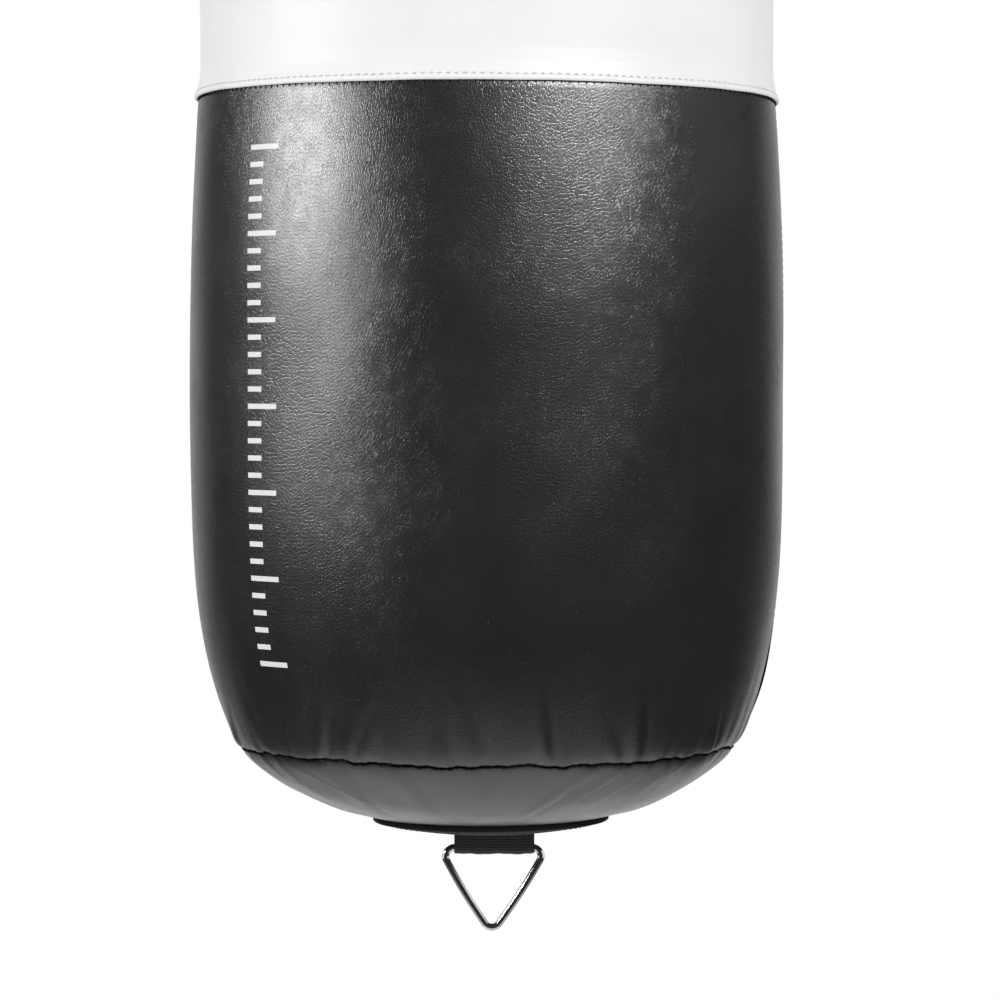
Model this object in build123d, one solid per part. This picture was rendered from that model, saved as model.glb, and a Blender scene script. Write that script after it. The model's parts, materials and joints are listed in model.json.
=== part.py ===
from build123d import *
import os
from math import acos, asin, atan2, cos, degrees, hypot, pi, radians, sin, sqrt, tan

# Hanging heavy bag with its swivel, carabiner, ring, four chain legs and base ring.
# Millimetres, +Z up, front is -Y. The origin is the centre of the swivel eye's bore.

os.makedirs("parts", exist_ok=True)

# ---------------------------------------------------------------- clearances
GAP = 0.3            # air between pieces that hang on each other
PIN_FIT = 0.05       # radial clearance of a pin in its hole
SEAT = 0.05          # between faces that are clamped or sewn together
SIDE_PLAY = 0.5      # sideways play beside a moving piece

# ---------------------------------------------------------------- swivel
EYE_BORE_R = 11.0
EYE_R = 22.0
EYE_WIDTH = 12.0
SHANK_R = 6.0
EYE_NECK = 8.0
NECK_WIDTH = 18.0
NECK_HEIGHT = 8.0
FLANGE_R = 11.0
FLANGE_T = 4.0
RACE_R = 13.0
RACE_T = 2.5
BALL_R = 2.0
BALL_COUNT = 8
BALL_FIT = 0.1
CAGE_T = 2.0
SWIVEL_NUT_AF = 19.0
SWIVEL_NUT_T = 10.0
SHANK_TIP = 3.0

# ---------------------------------------------------------------- bracket and its bolt
PLATE_T = 6.0
EAR_T = 5.0
EAR_INNER = 36.0
EAR_WIDTH = 28.0
BOLT_R = 5.0
BOLT_HEAD_AF = 17.0
BOLT_HEAD_T = 6.4
BOLT_TIP = 3.0
WASHER_R = 10.0
WASHER_T = 2.0
SPACER_R = 8.0
SWING_ROOM = 3.0     # between the swivel's tip and the carabiner as it swings

# ---------------------------------------------------------------- carabiner
CARABINER_WIRE_R = 5.0
CARABINER_BEND = 16.0
CARABINER_STRAIGHT = 50.0
GATE_PIN_R = 1.5
GATE_PIN_RISE = 8.0      # pin above the bottom bend's centre
GATE_TOP_DROP = 6.0      # nose below the top bend's centre
TONGUE_T = 4.0
TONGUE_R = 4.0
NOSE_TONGUE = 6.0
NOSE_GAP = 0.8
SPRING_R = 1.9
SPRING_WIRE_R = 0.35
SPRING_PITCH = 1.6
SPRING_LENGTH = 14.0

# ---------------------------------------------------------------- ring, chains and hooks
MASTER_R = 29.0
MASTER_WIRE_R = 4.0
INNER_LEG_TURN = 12.0    # degrees round the ring from its lowest point
OUTER_LEG_TURN = 29.0
END_WIRE_R = 2.5
END_WIDTH = 12.0
END_LENGTH = 30.0
LINK_WIRE_R = 2.0
LINK_WIDTH = 8.0
LINK_LENGTH = 32.0
LINK_COUNT = 8
HOOK_WIRE_R = 2.5
HOOK_BEND = 8.0

# ---------------------------------------------------------------- triangle rings and tape
TRIANGLE_WIDTH = 62.0
TRIANGLE_DROP = 49.0
TRIANGLE_WIRE_R = 2.25
BAR_BEND = 5.0
APEX_BEND = 4.8
TAPE_WIDTH = 49.0
TAPE_T = 1.5
LOOP_FIT = 0.25          # tape round a bar
TOP_FOLD = 3.0           # centre-line bend of a top loop's knee
BASE_FOLD = 1.2
LOOP_RISE = 22.0         # from the knee of a top loop to its bar
KNEE_RISE = 1.0          # knee above the rim
LOOP_TAIL = 92.0         # sewn length below the rim
BELT_WIDTH = 50.0
BELT_DROP = 50.0         # from the rim to the belt's upper edge
RIVET_R = 2.5
RIVET_HEAD_R = 6.0
RIVET_HEAD_T = 1.6
RIVET_SPREAD = 30.0

# ---------------------------------------------------------------- bag skins
BAG_HEIGHT = 1067.0
SKIN = 1.2
BELLY_R = 180.4
BELLY_H = 305.0
HEM_H = 442.0
HEM_IN = 5.4
SEAM_R = 150.1
SEAM_H = 51.0
KNEE_POWER = 4.7
CROWN_R = 330.0
CROWN_TO = 90.0
UPPER_R = 173.7
LAP = 10.0
LAP_TOP = 13.0
HEM_FOLD = 3.0
HEM_RUN = 12.0
COLLAR_H = 940.0
COLLAR_LAP = 20.0
SEAM_ALLOWANCE = 8.0
STRIP_ANGLE = 12.0
STRIP_FROM = 2.0         # degrees behind the side
STRIP_T = 1.2
PIPING_R = 3.0
LID_T = 1.5
LID_PLAY = 0.4

# ---------------------------------------------------------------- base patch and loop
PATCH_R = 71.4
PATCH_T = 3.6
PATCH_SHIFT = 2.5
LOOP_SHIFT = 4.5
BASE_BAR_DROP = 13.2     # bar below the leather
BASE_TAIL = 45.0
SLIT_PLAY = 0.4

# ---------------------------------------------------------------- filling
LINER_T = 20.0
TOP_PAD_T = 23.0
CORE_R = 45.0
FILL_PLAY = 0.3

# ---------------------------------------------------------------- zip
SLOT_LENGTH = 262.0
SLOT_WIDTH = 9.0
ZIP_TAPE_WIDTH = 14.0
ZIP_TAPE_T = 0.8
TOOTH_PITCH = 3.0
TOOTH_T = 2.2
TEETH_WIDTH = 5.2
TOOTH_GAP = 0.5
SLIDER_LENGTH = 14.0
SLIDER_ROOF = 1.2
STOP_LENGTH = 2.5
LUG_REACH = 3.0
LUG_T = 1.4
LUG_R = 1.8
PULL_PIN_R = 0.8
PULL_LENGTH = 24.0
PULL_WIDTH = 8.0
PULL_T = 1.6
PULL_EYE_R = 1.6
PULL_WINDOW_LENGTH = 8.0
PULL_WINDOW_WIDTH = 3.2
PULL_FRAME = 3.0
PULL_NECK = 4.5


# ================================================================ helpers
def rod(path, radius):
    """Round wire swept along a path."""
    return sweep(Plane(origin=path @ 0, z_dir=path % 0) * Circle(radius), path=path)


def tube(radius, hole, low, high, x=0.0, y=0.0):
    """Upright ring between two heights; a hole of 0 makes it solid."""
    height = high - low
    body = Pos(x, y, (low + high) / 2) * Cylinder(radius, height)
    return body - Pos(x, y, (low + high) / 2) * Cylinder(hole, height) if hole else body


def along_x(radius, low, high, y=0.0, z=0.0):
    """Cylinder lying along X."""
    return Pos((low + high) / 2, y, z) * Rot(0, 90, 0) * Cylinder(radius, high - low)


def block(x0, x1, y0, y1, z0, z1):
    """Box between two corners."""
    return Pos((x0 + x1) / 2, (y0 + y1) / 2, (z0 + z1) / 2) * Box(x1 - x0, y1 - y0, z1 - z0)


def turned(*curves):
    """Solid of revolution about Z from a closed chain drawn as (radius, height)."""
    edges = [edge for curve in curves for edge in curve.edges()]
    return revolve(Plane.XZ * make_face(edges), axis=Axis.Z)


def upright(origin, normal, up):
    """Plane at a point, square to normal, with its local Y along up."""
    return Plane(origin=origin, x_dir=up.cross(normal), z_dir=normal)


def save(name, shape):
    """Write one node."""
    export_step(shape, f"parts/{name}.step")


# ================================================================ heights of the swivel
FLANGE_LOW = -(EYE_R + EYE_NECK) - FLANGE_T
PLATE_TOP = FLANGE_LOW - GAP
PLATE_LOW = PLATE_TOP - PLATE_T
UPPER_RACE_LOW = PLATE_LOW - RACE_T
BALL_Z = UPPER_RACE_LOW - BALL_FIT - BALL_R
LOWER_RACE_TOP = BALL_Z - BALL_R - BALL_FIT
LOWER_RACE_LOW = LOWER_RACE_TOP - RACE_T
NUT_LOW = LOWER_RACE_LOW - SWIVEL_NUT_T
SHANK_END = NUT_LOW - SHANK_TIP
BALL_RING_R = (SHANK_R + RACE_R) / 2

# the carabiner hangs on the bolt, and its top bend sweeps a circle about the bolt
HOOK_DROP = CARABINER_BEND - CARABINER_WIRE_R - GAP - BOLT_R
BOLT_Z = SHANK_END - SWING_ROOM - hypot(CARABINER_BEND + CARABINER_WIRE_R, HOOK_DROP)
TOP_BEND_Z = BOLT_Z - HOOK_DROP
LOW_BEND_Z = TOP_BEND_Z - CARABINER_STRAIGHT
LOAD_Z = LOW_BEND_Z - CARABINER_BEND
GATE_PIN_Z = LOW_BEND_Z + GATE_PIN_RISE
NOSE_Z = TOP_BEND_Z - GATE_TOP_DROP
GATE_Y = -CARABINER_BEND

MASTER_Z = LOAD_Z + CARABINER_WIRE_R + GAP + MASTER_WIRE_R - MASTER_R


# ================================================================ triangle ring and its place
def triangle_corners():
    """Sharp corners of the ring's centre line: half width at the bar, and apex depth."""
    half, depth = TRIANGLE_WIDTH / 2, TRIANGLE_DROP
    for _ in range(60):
        side = atan2(depth, half)
        half = TRIANGLE_WIDTH / 2 - TRIANGLE_WIRE_R - BAR_BEND + BAR_BEND / tan(side / 2)
        depth = TRIANGLE_DROP + APEX_BEND * (1 / cos(side) - 1)
    return half, depth, side


TRI_HALF, TRI_DEPTH, TRI_SIDE = triangle_corners()


def triangle_ring():
    """Ring with its bar's centre at the origin along X and its apex at -Y."""
    corners = [(-TRI_HALF, 0), (TRI_HALF, 0), (0, -TRI_DEPTH)]
    path = FilletPolyline(*corners, radius=[BAR_BEND, BAR_BEND, APEX_BEND], close=True)
    return rod(path, TRIANGLE_WIRE_R)


def apex_seat(other_r):
    """Height above the apex's centre line where a wire of radius other_r rests."""
    reach = other_r + GAP + TRIANGLE_WIRE_R
    return reach if reach <= APEX_BEND else APEX_BEND + (reach - APEX_BEND) / cos(TRI_SIDE)


LOOP_BEND = TRIANGLE_WIRE_R + LOOP_FIT + TAPE_T / 2

# ================================================================ legs
LEG_TURNS = {45: OUTER_LEG_TURN, 135: -INNER_LEG_TURN, 225: -OUTER_LEG_TURN, 315: INNER_LEG_TURN}
COLLAR_R = UPPER_R + SEAT + SKIN
TAIL_IN = COLLAR_R + SEAT + TAPE_T + SEAT + TAPE_T / 2
TAIL_OUT = TAIL_IN + TAPE_T + SEAT
TAIL_MID = (TAIL_IN + TAIL_OUT) / 2


def leg_start(turn):
    """Point on the master ring's centre line."""
    a = radians(turn)
    return Vector(MASTER_R * sin(a), 0, MASTER_Z - MASTER_R * cos(a))


def leg_reach():
    """Taut length from the master ring's wire to the top ring's apex."""
    at = -(MASTER_WIRE_R + GAP + END_WIRE_R) + END_LENGTH + 2 * END_WIRE_R
    at += -(END_WIRE_R + GAP + LINK_WIRE_R) + LINK_LENGTH + 2 * LINK_WIRE_R
    at += (LINK_COUNT - 1) * (LINK_LENGTH - GAP)
    at += -(LINK_WIRE_R + GAP + HOOK_WIRE_R) + 4 * HOOK_BEND
    return at - apex_seat(HOOK_WIRE_R)


def solve_lean():
    """Lean of the legs from upright, and height of the top rings' apexes."""
    lean, reach = radians(28), leg_reach()
    for _ in range(40):
        side = (TAIL_MID - (LOOP_RISE + TRIANGLE_DROP) * sin(lean)) * cos(pi / 4)
        starts = [leg_start(turn) for turn in LEG_TURNS.values()]
        flats = [hypot(side - abs(s.X), side) for s in starts]
        apex_z = max(s.Z - sqrt(reach ** 2 - f ** 2) for s, f in zip(starts, flats))
        lean = atan2(max(flats), starts[0].Z - apex_z)
    return lean, apex_z


LEAN, APEX_Z = solve_lean()
KNEE_Z = APEX_Z - (LOOP_RISE + TRIANGLE_DROP) * cos(LEAN)
RIM_Z = KNEE_Z - KNEE_RISE
BASE_Z = RIM_Z - BAG_HEIGHT


def at(h):
    """Row height of a point h above the base's leather."""
    return BASE_Z + h


# ================================================================ wall and dome of the bag
def wall_r(h):
    """Outer radius of the lower wall at height h above the base."""
    if h < BELLY_H:
        return BELLY_R - (BELLY_R - SEAM_R) * ((BELLY_H - h) / (BELLY_H - SEAM_H)) ** KNEE_POWER
    return BELLY_R - HEM_IN * ((h - BELLY_H) / (HEM_H - BELLY_H)) ** 2


def wall_curve(inset, low, high):
    """The wall's profile, moved in by inset, between two heights."""
    steps = 14
    points = []
    for i in range(steps + 1):
        h = low + (high - low) * (i / steps) ** 1.6
        points.append((wall_r(h) - inset, at(h)))
    return Spline(*points)


CROWN_TILT = asin(CROWN_TO / CROWN_R)
CROWN_EDGE_H = CROWN_R * (1 - cos(CROWN_TILT))


def shoulder():
    """Centre and radius of the arc that is tangent to the crown and meets the seam."""
    dx, dy = SEAM_R - CROWN_TO, SEAM_H - CROWN_EDGE_H
    nx, ny = -sin(CROWN_TILT), cos(CROWN_TILT)
    radius = (dx ** 2 + dy ** 2) / (2 * (dx * nx + dy * ny))
    return CROWN_TO + radius * nx, CROWN_EDGE_H + radius * ny, radius


SHOULDER_X, SHOULDER_Y, SHOULDER_R = shoulder()


def shoulder_r_at(h, inset):
    """Radius of the shoulder, moved in by inset, at height h."""
    return SHOULDER_X + sqrt((SHOULDER_R - inset) ** 2 - (SHOULDER_Y - h) ** 2)


def dome_curves(inset, end_r):
    """Crown and shoulder arcs, moved in by inset, from the axis out to end_r."""
    crown, bend = CROWN_R - inset, SHOULDER_R - inset

    def crown_at(t):
        return crown * sin(t), at(CROWN_R - crown * cos(t))

    def bend_at(t):
        return SHOULDER_X + bend * sin(t), at(SHOULDER_Y - bend * cos(t))

    end = asin((end_r - SHOULDER_X) / bend)
    mid = (CROWN_TILT + end) / 2
    return [
        ThreePointArc(crown_at(0), crown_at(CROWN_TILT / 2), crown_at(CROWN_TILT)),
        ThreePointArc(bend_at(CROWN_TILT), bend_at(mid), bend_at(end)),
    ]


# ================================================================ swivel, bracket, carabiner
def make_swivel():
    eye = Rot(90, 0, 0) * (Cylinder(EYE_R, EYE_WIDTH) - Cylinder(EYE_BORE_R, EYE_WIDTH))
    mid = (EYE_R + EYE_BORE_R) / 2
    shank = tube(SHANK_R, 0, SHANK_END, -mid)
    flange = tube(FLANGE_R, 0, FLANGE_LOW, FLANGE_LOW + FLANGE_T)
    neck = Pos(0, 0, -EYE_R) * Box(NECK_WIDTH, EYE_WIDTH, NECK_HEIGHT)
    save("swivel_eye", eye + shank + flange + neck)
    nut = Pos(0, 0, NUT_LOW) * extrude(RegularPolygon(SWIVEL_NUT_AF / 2, 6, False), SWIVEL_NUT_T)
    save("swivel_nut", nut - tube(SHANK_R + SEAT, 0, NUT_LOW, LOWER_RACE_LOW))
    save("bearing_lower_race", tube(RACE_R, SHANK_R + SEAT, LOWER_RACE_LOW + SEAT, LOWER_RACE_TOP))
    save("bearing_upper_race", tube(RACE_R, SHANK_R + GAP, UPPER_RACE_LOW, PLATE_LOW - SEAT))
    cage = tube(RACE_R, SHANK_R + GAP, BALL_Z - CAGE_T / 2, BALL_Z + CAGE_T / 2)
    balls = [
        Pos(BALL_RING_R * cos(a), BALL_RING_R * sin(a), BALL_Z) * Sphere(BALL_R)
        for a in (2 * pi * i / BALL_COUNT for i in range(BALL_COUNT))
    ]
    pockets = [Pos(*ball.center()) * Cylinder(BALL_R + BALL_FIT, CAGE_T) for ball in balls]
    save("bearing_cage", cage - pockets)
    save("bearing_balls", Compound(children=balls))


def make_bracket():
    half = EAR_INNER / 2 + EAR_T
    plate = block(-half, half, -EAR_WIDTH / 2, EAR_WIDTH / 2, PLATE_LOW, PLATE_TOP)
    bracket = plate - tube(SHANK_R + GAP, 0, PLATE_LOW, PLATE_TOP)
    for side in (-1, 1):
        low, high = sorted((side * EAR_INNER / 2, side * half))
        ear = block(low, high, -EAR_WIDTH / 2, EAR_WIDTH / 2, BOLT_Z, PLATE_TOP)
        bracket += ear + along_x(EAR_WIDTH / 2, low, high, z=BOLT_Z)
    save("swivel_bracket", bracket - along_x(BOLT_R + PIN_FIT, -half, half, z=BOLT_Z))

    head_x = half + 2 * SEAT + WASHER_T
    bolt = along_x(BOLT_R, -head_x - BOLT_HEAD_T - BOLT_TIP, head_x + BOLT_HEAD_T, z=BOLT_Z)
    hexagon = Rot(0, 90, 0) * extrude(RegularPolygon(BOLT_HEAD_AF / 2, 6, False), BOLT_HEAD_T)
    save("bracket_bolt", bolt + Pos(head_x, 0, BOLT_Z) * hexagon)
    nut = Pos(-head_x - BOLT_HEAD_T, 0, BOLT_Z) * hexagon
    save("bracket_nut", nut - along_x(BOLT_R + SEAT, -head_x - BOLT_HEAD_T, -head_x, z=BOLT_Z))
    washers, spacers = [], []
    inner = CARABINER_WIRE_R + SIDE_PLAY
    for side in (-1, 1):
        low, high = sorted((side * (half + SEAT), side * (half + SEAT + WASHER_T)))
        hole = along_x(BOLT_R + PIN_FIT, low, high, z=BOLT_Z)
        washers.append(along_x(WASHER_R, low, high, z=BOLT_Z) - hole)
        low, high = sorted((side * inner, side * (EAR_INNER / 2 - SEAT)))
        hole = along_x(BOLT_R + PIN_FIT, low, high, z=BOLT_Z)
        spacers.append(along_x(SPACER_R, low, high, z=BOLT_Z) - hole)
    save("bracket_washers", Compound(children=washers))
    save("bracket_spacers", Compound(children=spacers))


def make_carabiner():
    bend, wire = CARABINER_BEND, CARABINER_WIRE_R
    shoulder_z = GATE_PIN_Z - wire - GAP
    nose = Line((-bend, NOSE_Z), (-bend, TOP_BEND_Z))
    top = ThreePointArc((-bend, TOP_BEND_Z), (0, TOP_BEND_Z + bend), (bend, TOP_BEND_Z))
    spine = Line((bend, TOP_BEND_Z), (bend, LOW_BEND_Z))
    low = ThreePointArc((bend, LOW_BEND_Z), (0, LOW_BEND_Z - bend), (-bend, LOW_BEND_Z))
    stub = Line((-bend, LOW_BEND_Z), (-bend, shoulder_z))
    path = Plane.YZ * Wire([e for c in (nose, top, spine, low, stub) for e in c.edges()])
    tongue = block(-TONGUE_T / 2, TONGUE_T / 2, GATE_Y - TONGUE_R, GATE_Y + TONGUE_R,
                   shoulder_z - 1, GATE_PIN_Z)
    tongue += along_x(TONGUE_R, -TONGUE_T / 2, TONGUE_T / 2, GATE_Y, GATE_PIN_Z)
    tongue -= along_x(GATE_PIN_R + PIN_FIT / 2, -TONGUE_T / 2, TONGUE_T / 2, GATE_Y, GATE_PIN_Z)
    nose_tongue = block(-TONGUE_T / 2, TONGUE_T / 2, GATE_Y - TONGUE_R, GATE_Y + TONGUE_R,
                        NOSE_Z - NOSE_TONGUE, NOSE_Z + 1)
    save("carabiner_body", rod(path, wire) + tongue + nose_tongue)
    save("gate_pin", along_x(GATE_PIN_R, -wire + 0.5, wire - 0.5, GATE_Y, GATE_PIN_Z))

    gate_top = NOSE_Z - NOSE_GAP
    slot = TONGUE_T / 2 + GAP
    shaft = tube(wire, 0, GATE_PIN_Z - wire, gate_top, y=GATE_Y)
    heel = along_x(wire, -wire, wire, GATE_Y, GATE_PIN_Z)
    heel += block(-wire, wire, GATE_Y - wire, GATE_Y + wire, GATE_PIN_Z, gate_top)
    gate = shaft & heel
    low_slot = GATE_PIN_Z + TONGUE_R + 4 * GAP
    gate -= block(-slot, slot, GATE_Y - wire, GATE_Y + wire, GATE_PIN_Z - wire, low_slot)
    high_slot = NOSE_Z - NOSE_TONGUE - 6 * GAP
    gate -= block(-slot, slot, GATE_Y - wire, GATE_Y + wire, high_slot, gate_top)
    gate -= along_x(GATE_PIN_R + PIN_FIT, -wire, wire, GATE_Y, GATE_PIN_Z)
    well = SPRING_R + SPRING_WIRE_R + GAP
    well_top = low_slot + SPRING_LENGTH + 2 * SPRING_WIRE_R + GAP
    gate -= tube(well, 0, low_slot, well_top, y=GATE_Y)
    save("carabiner_gate", gate)
    coil = Pos(0, GATE_Y, low_slot + SPRING_WIRE_R) * Helix(SPRING_PITCH, SPRING_LENGTH, SPRING_R)
    profile = Plane(origin=coil @ 0, z_dir=coil % 0) * Circle(SPRING_WIRE_R)
    save("gate_spring", sweep(profile, path=coil, is_frenet=True))


# ================================================================ ring, chains, hooks, top loops
def link(plane, width, length, wire_r):
    """One chain link in a plane, long along the plane's Y."""
    bend, arm = width / 2 + wire_r, (length - width) / 2
    curves = [
        ThreePointArc((-bend, arm), (0, arm + bend), (bend, arm)),
        Line((bend, arm), (bend, -arm)),
        ThreePointArc((bend, -arm), (0, -arm - bend), (-bend, -arm)),
        Line((-bend, -arm), (-bend, arm)),
    ]
    return rod(plane * Wire([e for c in curves for e in c.edges()]), wire_r)


def make_leg(azimuth, turn, number):
    """End link, chain, hook, top ring and tape loop of one corner."""
    a = radians(azimuth)
    out, side = Vector(cos(a), sin(a), 0), Vector(-sin(a), cos(a), 0)
    up = out * -sin(LEAN) + Vector(0, 0, cos(LEAN))
    knee = out * TAIL_MID + Vector(0, 0, KNEE_Z)
    bar = knee + up * LOOP_RISE
    apex = bar + up * TRIANGLE_DROP
    start = leg_start(turn)
    way = (apex - start).normalized()
    play = GAP + (leg_reach() - (apex - start).length) / (LINK_COUNT + 3)

    tangent = Vector(cos(radians(turn)), 0, sin(radians(turn)))
    first = (tangent - way * tangent.dot(way)).normalized()
    last = (side.cross(way)).normalized()
    twist = degrees(atan2(first.cross(last).dot(way), first.dot(last)))
    quarters = LINK_COUNT * 90.0
    extra = (twist - quarters + 90) % 180 - 90
    step = (quarters + extra) / LINK_COUNT

    links = []
    centre = -(MASTER_WIRE_R + play + END_WIRE_R) + END_LENGTH / 2 + END_WIRE_R
    links.append(link(upright(start + way * centre, first, way * -1), END_WIDTH, END_LENGTH, END_WIRE_R))
    low, wire_r = centre + END_LENGTH / 2 + END_WIRE_R, END_WIRE_R
    for i in range(1, LINK_COUNT + 1):
        normal = first.rotate(Axis((0, 0, 0), way), step * i)
        centre = low - (wire_r + play + LINK_WIRE_R) + LINK_LENGTH / 2 + LINK_WIRE_R
        plane = upright(start + way * centre, normal, way * -1)
        links.append(link(plane, LINK_WIDTH, LINK_LENGTH, LINK_WIRE_R))
        low, wire_r = centre + LINK_LENGTH / 2 + LINK_WIRE_R, LINK_WIRE_R
    save(f"chain_{number}", Compound(children=links))

    centre = low - (LINK_WIRE_R + play + HOOK_WIRE_R) + 2 * HOOK_BEND
    plane = upright(start + way * centre, side, way * -1)
    arcs = [CenterArc((0, HOOK_BEND), HOOK_BEND, 180, -270), CenterArc((0, -HOOK_BEND), HOOK_BEND, 90, 270)]
    save(f"s_hook_{number}", rod(plane * Wire([e for c in arcs for e in c.edges()]), HOOK_WIRE_R))

    ring_plane = Plane(origin=bar, x_dir=side, z_dir=side.cross(up * -1))
    save(f"top_ring_{number}", ring_plane * triangle_ring())

    stack = Plane(origin=(0, 0, 0), x_dir=out, z_dir=out.cross(Vector(0, 0, 1)))
    hub = (TAIL_MID - LOOP_RISE * sin(LEAN), KNEE_Z + LOOP_RISE * cos(LEAN))
    path = loop_path(hub, (TAIL_OUT, KNEE_Z), (TAIL_OUT, RIM_Z - LOOP_TAIL),
                     (TAIL_IN, KNEE_Z), (TAIL_IN, RIM_Z - LOOP_TAIL), TOP_FOLD)
    loop = tape(stack * path)
    drills, rivets = [], []
    for spot in (-RIVET_SPREAD / 2, RIVET_SPREAD / 2):
        foot = side * spot + Vector(0, 0, RIM_Z - BELT_DROP - BELT_WIDTH / 2)
        drills.append(Plane(origin=foot + out * COLLAR_R, z_dir=out) * Cylinder(RIVET_R + SEAT, 30))
        inner, outer = COLLAR_R - SKIN - 2 * SEAT, TAIL_OUT + TAPE_T / 2 + SEAT
        shank = Pos(0, 0, (inner - outer) / 2) * Cylinder(RIVET_R, outer - inner)
        rivets.append(Plane(origin=foot + out * outer, z_dir=out) * (shank + dome_cap()))
    save(f"top_loop_{number}", loop - drills)
    return drills, rivets


def dome_cap():
    """Rivet head standing on the XY plane."""
    ball = (RIVET_HEAD_R ** 2 + RIVET_HEAD_T ** 2) / (2 * RIVET_HEAD_T)
    cap = Pos(0, 0, RIVET_HEAD_T - ball) * Sphere(ball)
    return cap & Pos(0, 0, RIVET_HEAD_T / 2) * Cylinder(RIVET_HEAD_R, RIVET_HEAD_T)


def touch(point, hub, bend, turn):
    """Where a straight run from point meets the circle round hub; turn picks the side."""
    dx, dy = hub[0] - point[0], hub[1] - point[1]
    far = hypot(dx, dy)
    a = atan2(dy, dx) + turn * asin(bend / far)
    run = sqrt(far ** 2 - bend ** 2)
    return point[0] + run * cos(a), point[1] + run * sin(a)


def loop_path(hub, knee_a, end_a, knee_b, end_b, fold):
    """Centre line of a tape that runs from end_a over the bar at hub and back to end_b."""
    a = touch(knee_a, hub, LOOP_BEND, -1)
    b = touch(knee_b, hub, LOOP_BEND, 1)
    ux, uy = hub[0] - (knee_a[0] + knee_b[0]) / 2, hub[1] - (knee_a[1] + knee_b[1]) / 2
    far = hypot(ux, uy)
    over = hub[0] + LOOP_BEND * ux / far, hub[1] + LOOP_BEND * uy / far
    runs = [
        FilletPolyline(end_a, knee_a, a, radius=fold),
        ThreePointArc(a, over, b),
        FilletPolyline(b, knee_b, end_b, radius=fold),
    ]
    return Wire([e for run in runs for e in run.edges()])


def tape(path, width=TAPE_WIDTH, thick=TAPE_T):
    """Flat tape swept along a plane path, wide across that plane."""
    start = path @ 0
    along = path % 0
    section = Plane(origin=start, x_dir=plane_normal(path), z_dir=along) * Rectangle(width, thick)
    return sweep(section, path=path)


def plane_normal(path):
    """Unit normal of the plane that a bent path lies in."""
    a, b, c = path @ 0, path @ 0.5, path @ 1
    return (b - a).cross(c - a).normalized()


def make_hanging():
    path = Pos(0, 0, MASTER_Z) * Rot(90, 0, 0) * Torus(MASTER_R, MASTER_WIRE_R)
    save("master_ring", path)
    drills, rivets = [], []
    for number, (azimuth, turn) in enumerate(LEG_TURNS.items(), start=1):
        holes, pins = make_leg(azimuth, turn, number)
        drills += holes
        rivets += pins
    save("rivets", Compound(children=rivets))
    return drills


# ================================================================ skins of the bag
LAP_R = UPPER_R - SKIN - SEAT


def make_lower_panel():
    low = SEAM_H + SEAT
    inner_low = low + SKIN
    hem, lap, top = wall_r(HEM_H), HEM_H + LAP, HEM_H + LAP + LAP_TOP
    flange = SEAM_R - SEAM_ALLOWANCE
    panel = turned(
        wall_curve(0, low, HEM_H),
        Polyline((hem, at(HEM_H)), (LAP_R, at(lap)), (LAP_R, at(top)), (LAP_R - SKIN, at(top)),
                 (LAP_R - SKIN, at(lap)), (hem - SKIN, at(HEM_H))),
        wall_curve(SKIN, inner_low, HEM_H),
        Polyline((wall_r(inner_low) - SKIN, at(inner_low)), (flange, at(inner_low)),
                 (flange, at(low)), (wall_r(low), at(low))),
    )
    save("lower_panel", panel)


def make_base_panel():
    top = SEAM_H - SEAT
    under = top - SKIN
    flange = SEAM_R - SEAM_ALLOWANCE
    outer_r, inner_r = shoulder_r_at(top, 0), shoulder_r_at(under, SKIN)
    panel = turned(
        *dome_curves(0, outer_r),
        Polyline((outer_r, at(top)), (flange, at(top)), (flange, at(under)), (inner_r, at(under))),
        *dome_curves(SKIN, inner_r),
        Line((0, at(SKIN)), (0, at(0))),
    )
    save("base_panel", panel)


def make_upper_panel():
    hem = wall_r(HEM_H) + SEAT
    edge = hem + 2 * SKIN
    inner = UPPER_R - SKIN
    top = COLLAR_H + COLLAR_LAP
    rise = Spline((edge, at(HEM_H + HEM_FOLD)), (UPPER_R + (edge - UPPER_R) * 0.35, at(HEM_H + 0.6 * HEM_RUN)),
                  (UPPER_R, at(HEM_H + 1.6 * HEM_RUN)), tangents=[(-0.15, 1), (0, 1)])
    panel = turned(
        Line((edge, at(HEM_H)), (edge, at(HEM_H + HEM_FOLD))),
        rise,
        Polyline((UPPER_R, at(HEM_H + 1.6 * HEM_RUN)), (UPPER_R, at(top)), (inner, at(top)),
                 (inner, at(HEM_H + LAP)), (hem, at(HEM_H)), (edge, at(HEM_H))),
    )
    save("upper_panel", panel)


def strip_of(edges):
    """Sewn cover strip: a band of the wall's revolution, from its closed section."""
    face = Plane.XZ * make_face(edges)
    return Rot(0, 0, STRIP_FROM) * revolve(face, axis=Axis.Z, revolution_arc=STRIP_ANGLE)


def make_strips():
    low, high = SEAM_H + 2 * SKIN, HEM_H - SKIN
    out = SEAT + STRIP_T
    outer = wall_curve(-out, low, high)
    ends = Polyline((wall_r(high) + out, at(high)), (wall_r(high) + SEAT, at(high)))
    inner = wall_curve(-SEAT, low, high)
    foot = Polyline((wall_r(low) + SEAT, at(low)), (wall_r(low) + out, at(low)))
    save("lower_strip", strip_of([e for c in (outer, ends, inner, foot) for e in c.edges()]))
    low, high = HEM_H + 2 * HEM_RUN, COLLAR_H - SKIN
    outline = Polyline((UPPER_R + SEAT, at(low)), (UPPER_R + out, at(low)), (UPPER_R + out, at(high)),
                       (UPPER_R + SEAT, at(high)), (UPPER_R + SEAT, at(low)))
    save("upper_strip", strip_of(outline.edges()))


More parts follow.
